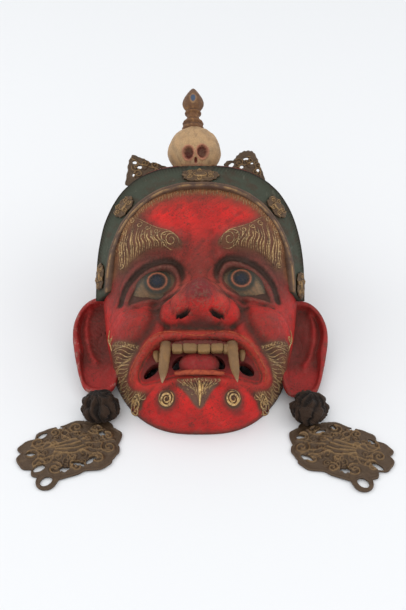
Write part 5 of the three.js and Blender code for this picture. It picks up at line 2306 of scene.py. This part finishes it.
@dataclass
class SilkKnot:
    """A wad of dark silk tied through the ear lobe and onto the ornament."""

    looks: Finishes
    side: Side
    middle: tuple[float, float, float]
    size: tuple[float, float, float]
    lean: float

    def build(self) -> None:
        """Makes the wad with its gathered folds."""
        bm = bmesh.new()
        made = bmesh.ops.create_uvsphere(bm, u_segments=190, v_segments=130, radius=1.0)["verts"]
        ball = np.array([vert.co[:] for vert in made])
        c, d = math.cos(self.lean), math.sin(self.lean)
        a = ball[:, 0] * c + ball[:, 1] * d
        b = -ball[:, 0] * d + ball[:, 1] * c
        z = ball[:, 2]
        seed = 3.0 + self.side.value
        fold_axis = 0.64 * b + 0.77 * z
        turn = np.arctan2(0.64 * z - 0.77 * b, a) + 0.25 * rough(ball, 1.6, seed) + 0.06 * rough(ball, 0.6,
            seed + 2)
        pole = 1 - np.abs(fold_axis) ** 4
        folds = 0.15 * np.abs(np.sin(5.0 * turn + 0.5 * fold_axis)) ** 0.7 + 0.06 * np.abs(np.sin(11.0
            * turn - 0.6 * fold_axis + 1.0))
        folds += 0.03 * np.abs(np.sin(19 * turn + 0.8 * fold_axis))
        crumple = 0.10 * rough(ball, 1.3, seed + 1) + 0.022 * rough(ball, 0.6,
            seed + 5) + 0.010 * rough(ball, 0.2, seed + 3)
        lift = folds * (0.35 + 0.65 * pole) + crumple
        waist = 1 - 0.12 * np.exp(-(((fold_axis - 0.35) / 0.16) ** 2))
        spots = np.stack((a, b * 1.06, z), axis=1) * (waist * (0.86 + lift))[:, None]
        flap = ease(0.35, 1.0, b) * 0.16 * np.sin(3 * turn + seed)
        spots[:, 0] += flap
        spots = spots * np.asarray(self.size)
        x = spots[:, 0] * c - spots[:, 1] * d + self.middle[0]
        y = spots[:, 0] * d + spots[:, 1] * c + self.middle[1]
        h = np.maximum(spots[:, 2] + self.middle[2], 0.4)
        place(made, floor_frame(np.stack((x, y, h), axis=1)))
        bmesh.ops.smooth_vert(bm, verts=bm.verts, factor=0.3, use_axis_x=True, use_axis_y=True,
            use_axis_z=True)
        bmesh.ops.recalc_face_normals(bm, faces=bm.faces)
        piece = finish_piece(bm, f"silk_knot_{self.side.word}", [self.looks.silk])
        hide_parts(f"knot_{self.side.word}")
        # Fold heights for the silk's painted shade in the troughs and lighter crests.
        low, high = np.percentile(lift, 10), np.percentile(lift, 96)
        mark(piece, "lift", np.clip((lift - low) / (high - low), 0, 1))


# ---------------------------------------------------------------- studio


@dataclass
class Studio:
    """Pale floor, soft light and the camera."""

    looks: Finishes
    camera_y: float = -890.8
    camera_z: float = 960.8
    camera_x: float = 3.7
    elevation: float = 40.0
    frame_height: float = 24.0
    focal_share: float = 1050.0 / 610.0

    def _lamp(self, name: str, spot: Sequence[float], size: float, watts: float) -> None:
        """Hangs a soft square lamp aimed at the mask."""
        data = bpy.data.lights.new(name, "AREA")
        data.energy = watts
        data.size = size
        lamp = bpy.data.objects.new(name, data)
        bpy.context.scene.collection.objects.link(lamp)
        lamp.location = spot
        lamp.rotation_euler = (Vector((0, -0.02, 0.08)) - Vector(spot)).to_track_quat("-Z", "Y").to_euler()

    def build(self) -> None:
        """Sets the floor, the lamps and the camera."""
        bm = bmesh.new()
        bmesh.ops.create_grid(bm, x_segments=1, y_segments=1, size=6.0)
        mesh = bpy.data.meshes.new("studio_floor")
        bm.to_mesh(mesh)
        bm.free()
        mesh.materials.append(self.looks.floor)
        floor = bpy.data.objects.new("studio_floor", mesh)
        bpy.context.scene.collection.objects.link(floor)
        floor.location = (0, 0, -0.0004)
        world = bpy.data.worlds.new("soft_room")
        world.use_nodes = True
        world.node_tree.nodes["Background"].inputs[0].default_value = (0.975, 0.985, 1.0, 1.0)
        world.node_tree.nodes["Background"].inputs[1].default_value = 0.955
        bpy.context.scene.world = world
        bpy.context.scene.view_settings.view_transform = "Standard"
        self._lamp("front_softbox", (-0.5, -1.7, 1.9), 1.5, 6.5)
        self._lamp("right_softbox", (1.8, -0.2, 1.5), 1.5, 9.0)
        self._lamp("left_softbox", (-1.8, 0.3, 1.6), 1.5, 10.0)
        data = bpy.data.cameras.new("camera")
        data.sensor_fit = "VERTICAL"
        data.sensor_height = self.frame_height
        data.lens = self.frame_height * self.focal_share
        camera = bpy.data.objects.new("camera", data)
        bpy.context.scene.collection.objects.link(camera)
        spot = floor_frame(np.array(((self.camera_x, self.camera_y, self.camera_z),)))[0]
        camera.location = spot
        camera.rotation_euler = (math.radians(90.0 - self.elevation), 0.0, 0.0)
        bpy.context.scene.camera = camera


def main() -> None:
    """Builds the mask and its studio."""
    logging.basicConfig(level=logging.INFO, format="%(message)s")
    looks = Finishes()
    form = HeadForm()
    band = BandForm()
    Shell(form, band, looks).build()
    for side in Side:
        Eye(form, looks, side).build()
        Brow(form, looks, side).build()
        Sideburn(form, looks, side).build()
        Ear(form, looks, side).build()
    Mouth(form, looks).build()
    ChinCurls(form, looks).build()
    Hairline(form, band, looks).build()
    Diadem(band, looks).build()
    plaques = (
        ("plaque_of_brow", "plaque_top", 0.5, 25.0, 11.5, 6, 0.0),
        ("plaque_of_left_temple", "plaque_upper_left", 0.76, 17.0, 12.0, 5, 0.0),
        ("plaque_of_right_temple", "plaque_upper_right", 0.24, 17.0, 12.0, 5, 0.0),
        ("plaque_of_left_end", "plaque_end_left", 0.968, 18.0, 11.0, 5, 5.0),
        ("plaque_of_right_end", "plaque_end_right", 0.016, 18.0, 11.0, 5, 5.0),
    )
    for name, node, turn, length, width, lobes, outward in plaques:
        Plaque(looks, band, name, node, math.pi * turn, length, width, lobes, outward).build()
    CrownPlate(looks, Side.LEFT, (-72.0, 371.0), 0.0, 31.0, 24.0).build()
    CrownPlate(looks, Side.RIGHT, (64.0, 374.0), 0.0, 31.0, 26.0).build()
    Skull(looks).build()
    Finial(looks).build()
    SilkKnot(looks, Side.LEFT, (-126.0, 40.0, 14.0), (23.0, 23.5, 16.0), 0.4).build()
    SilkKnot(looks, Side.RIGHT, (137.0, 37.0, 14.0), (22.0, 24.5, 16.0), -0.2).build()
    EarOrnament(looks, Side.LEFT, (-157.0, -22.0), 0.32).build()
    EarOrnament(looks, Side.RIGHT, (170.0, -24.0), -0.36).build()
    Studio(looks).build()


if __name__ == "__main__":
    main()
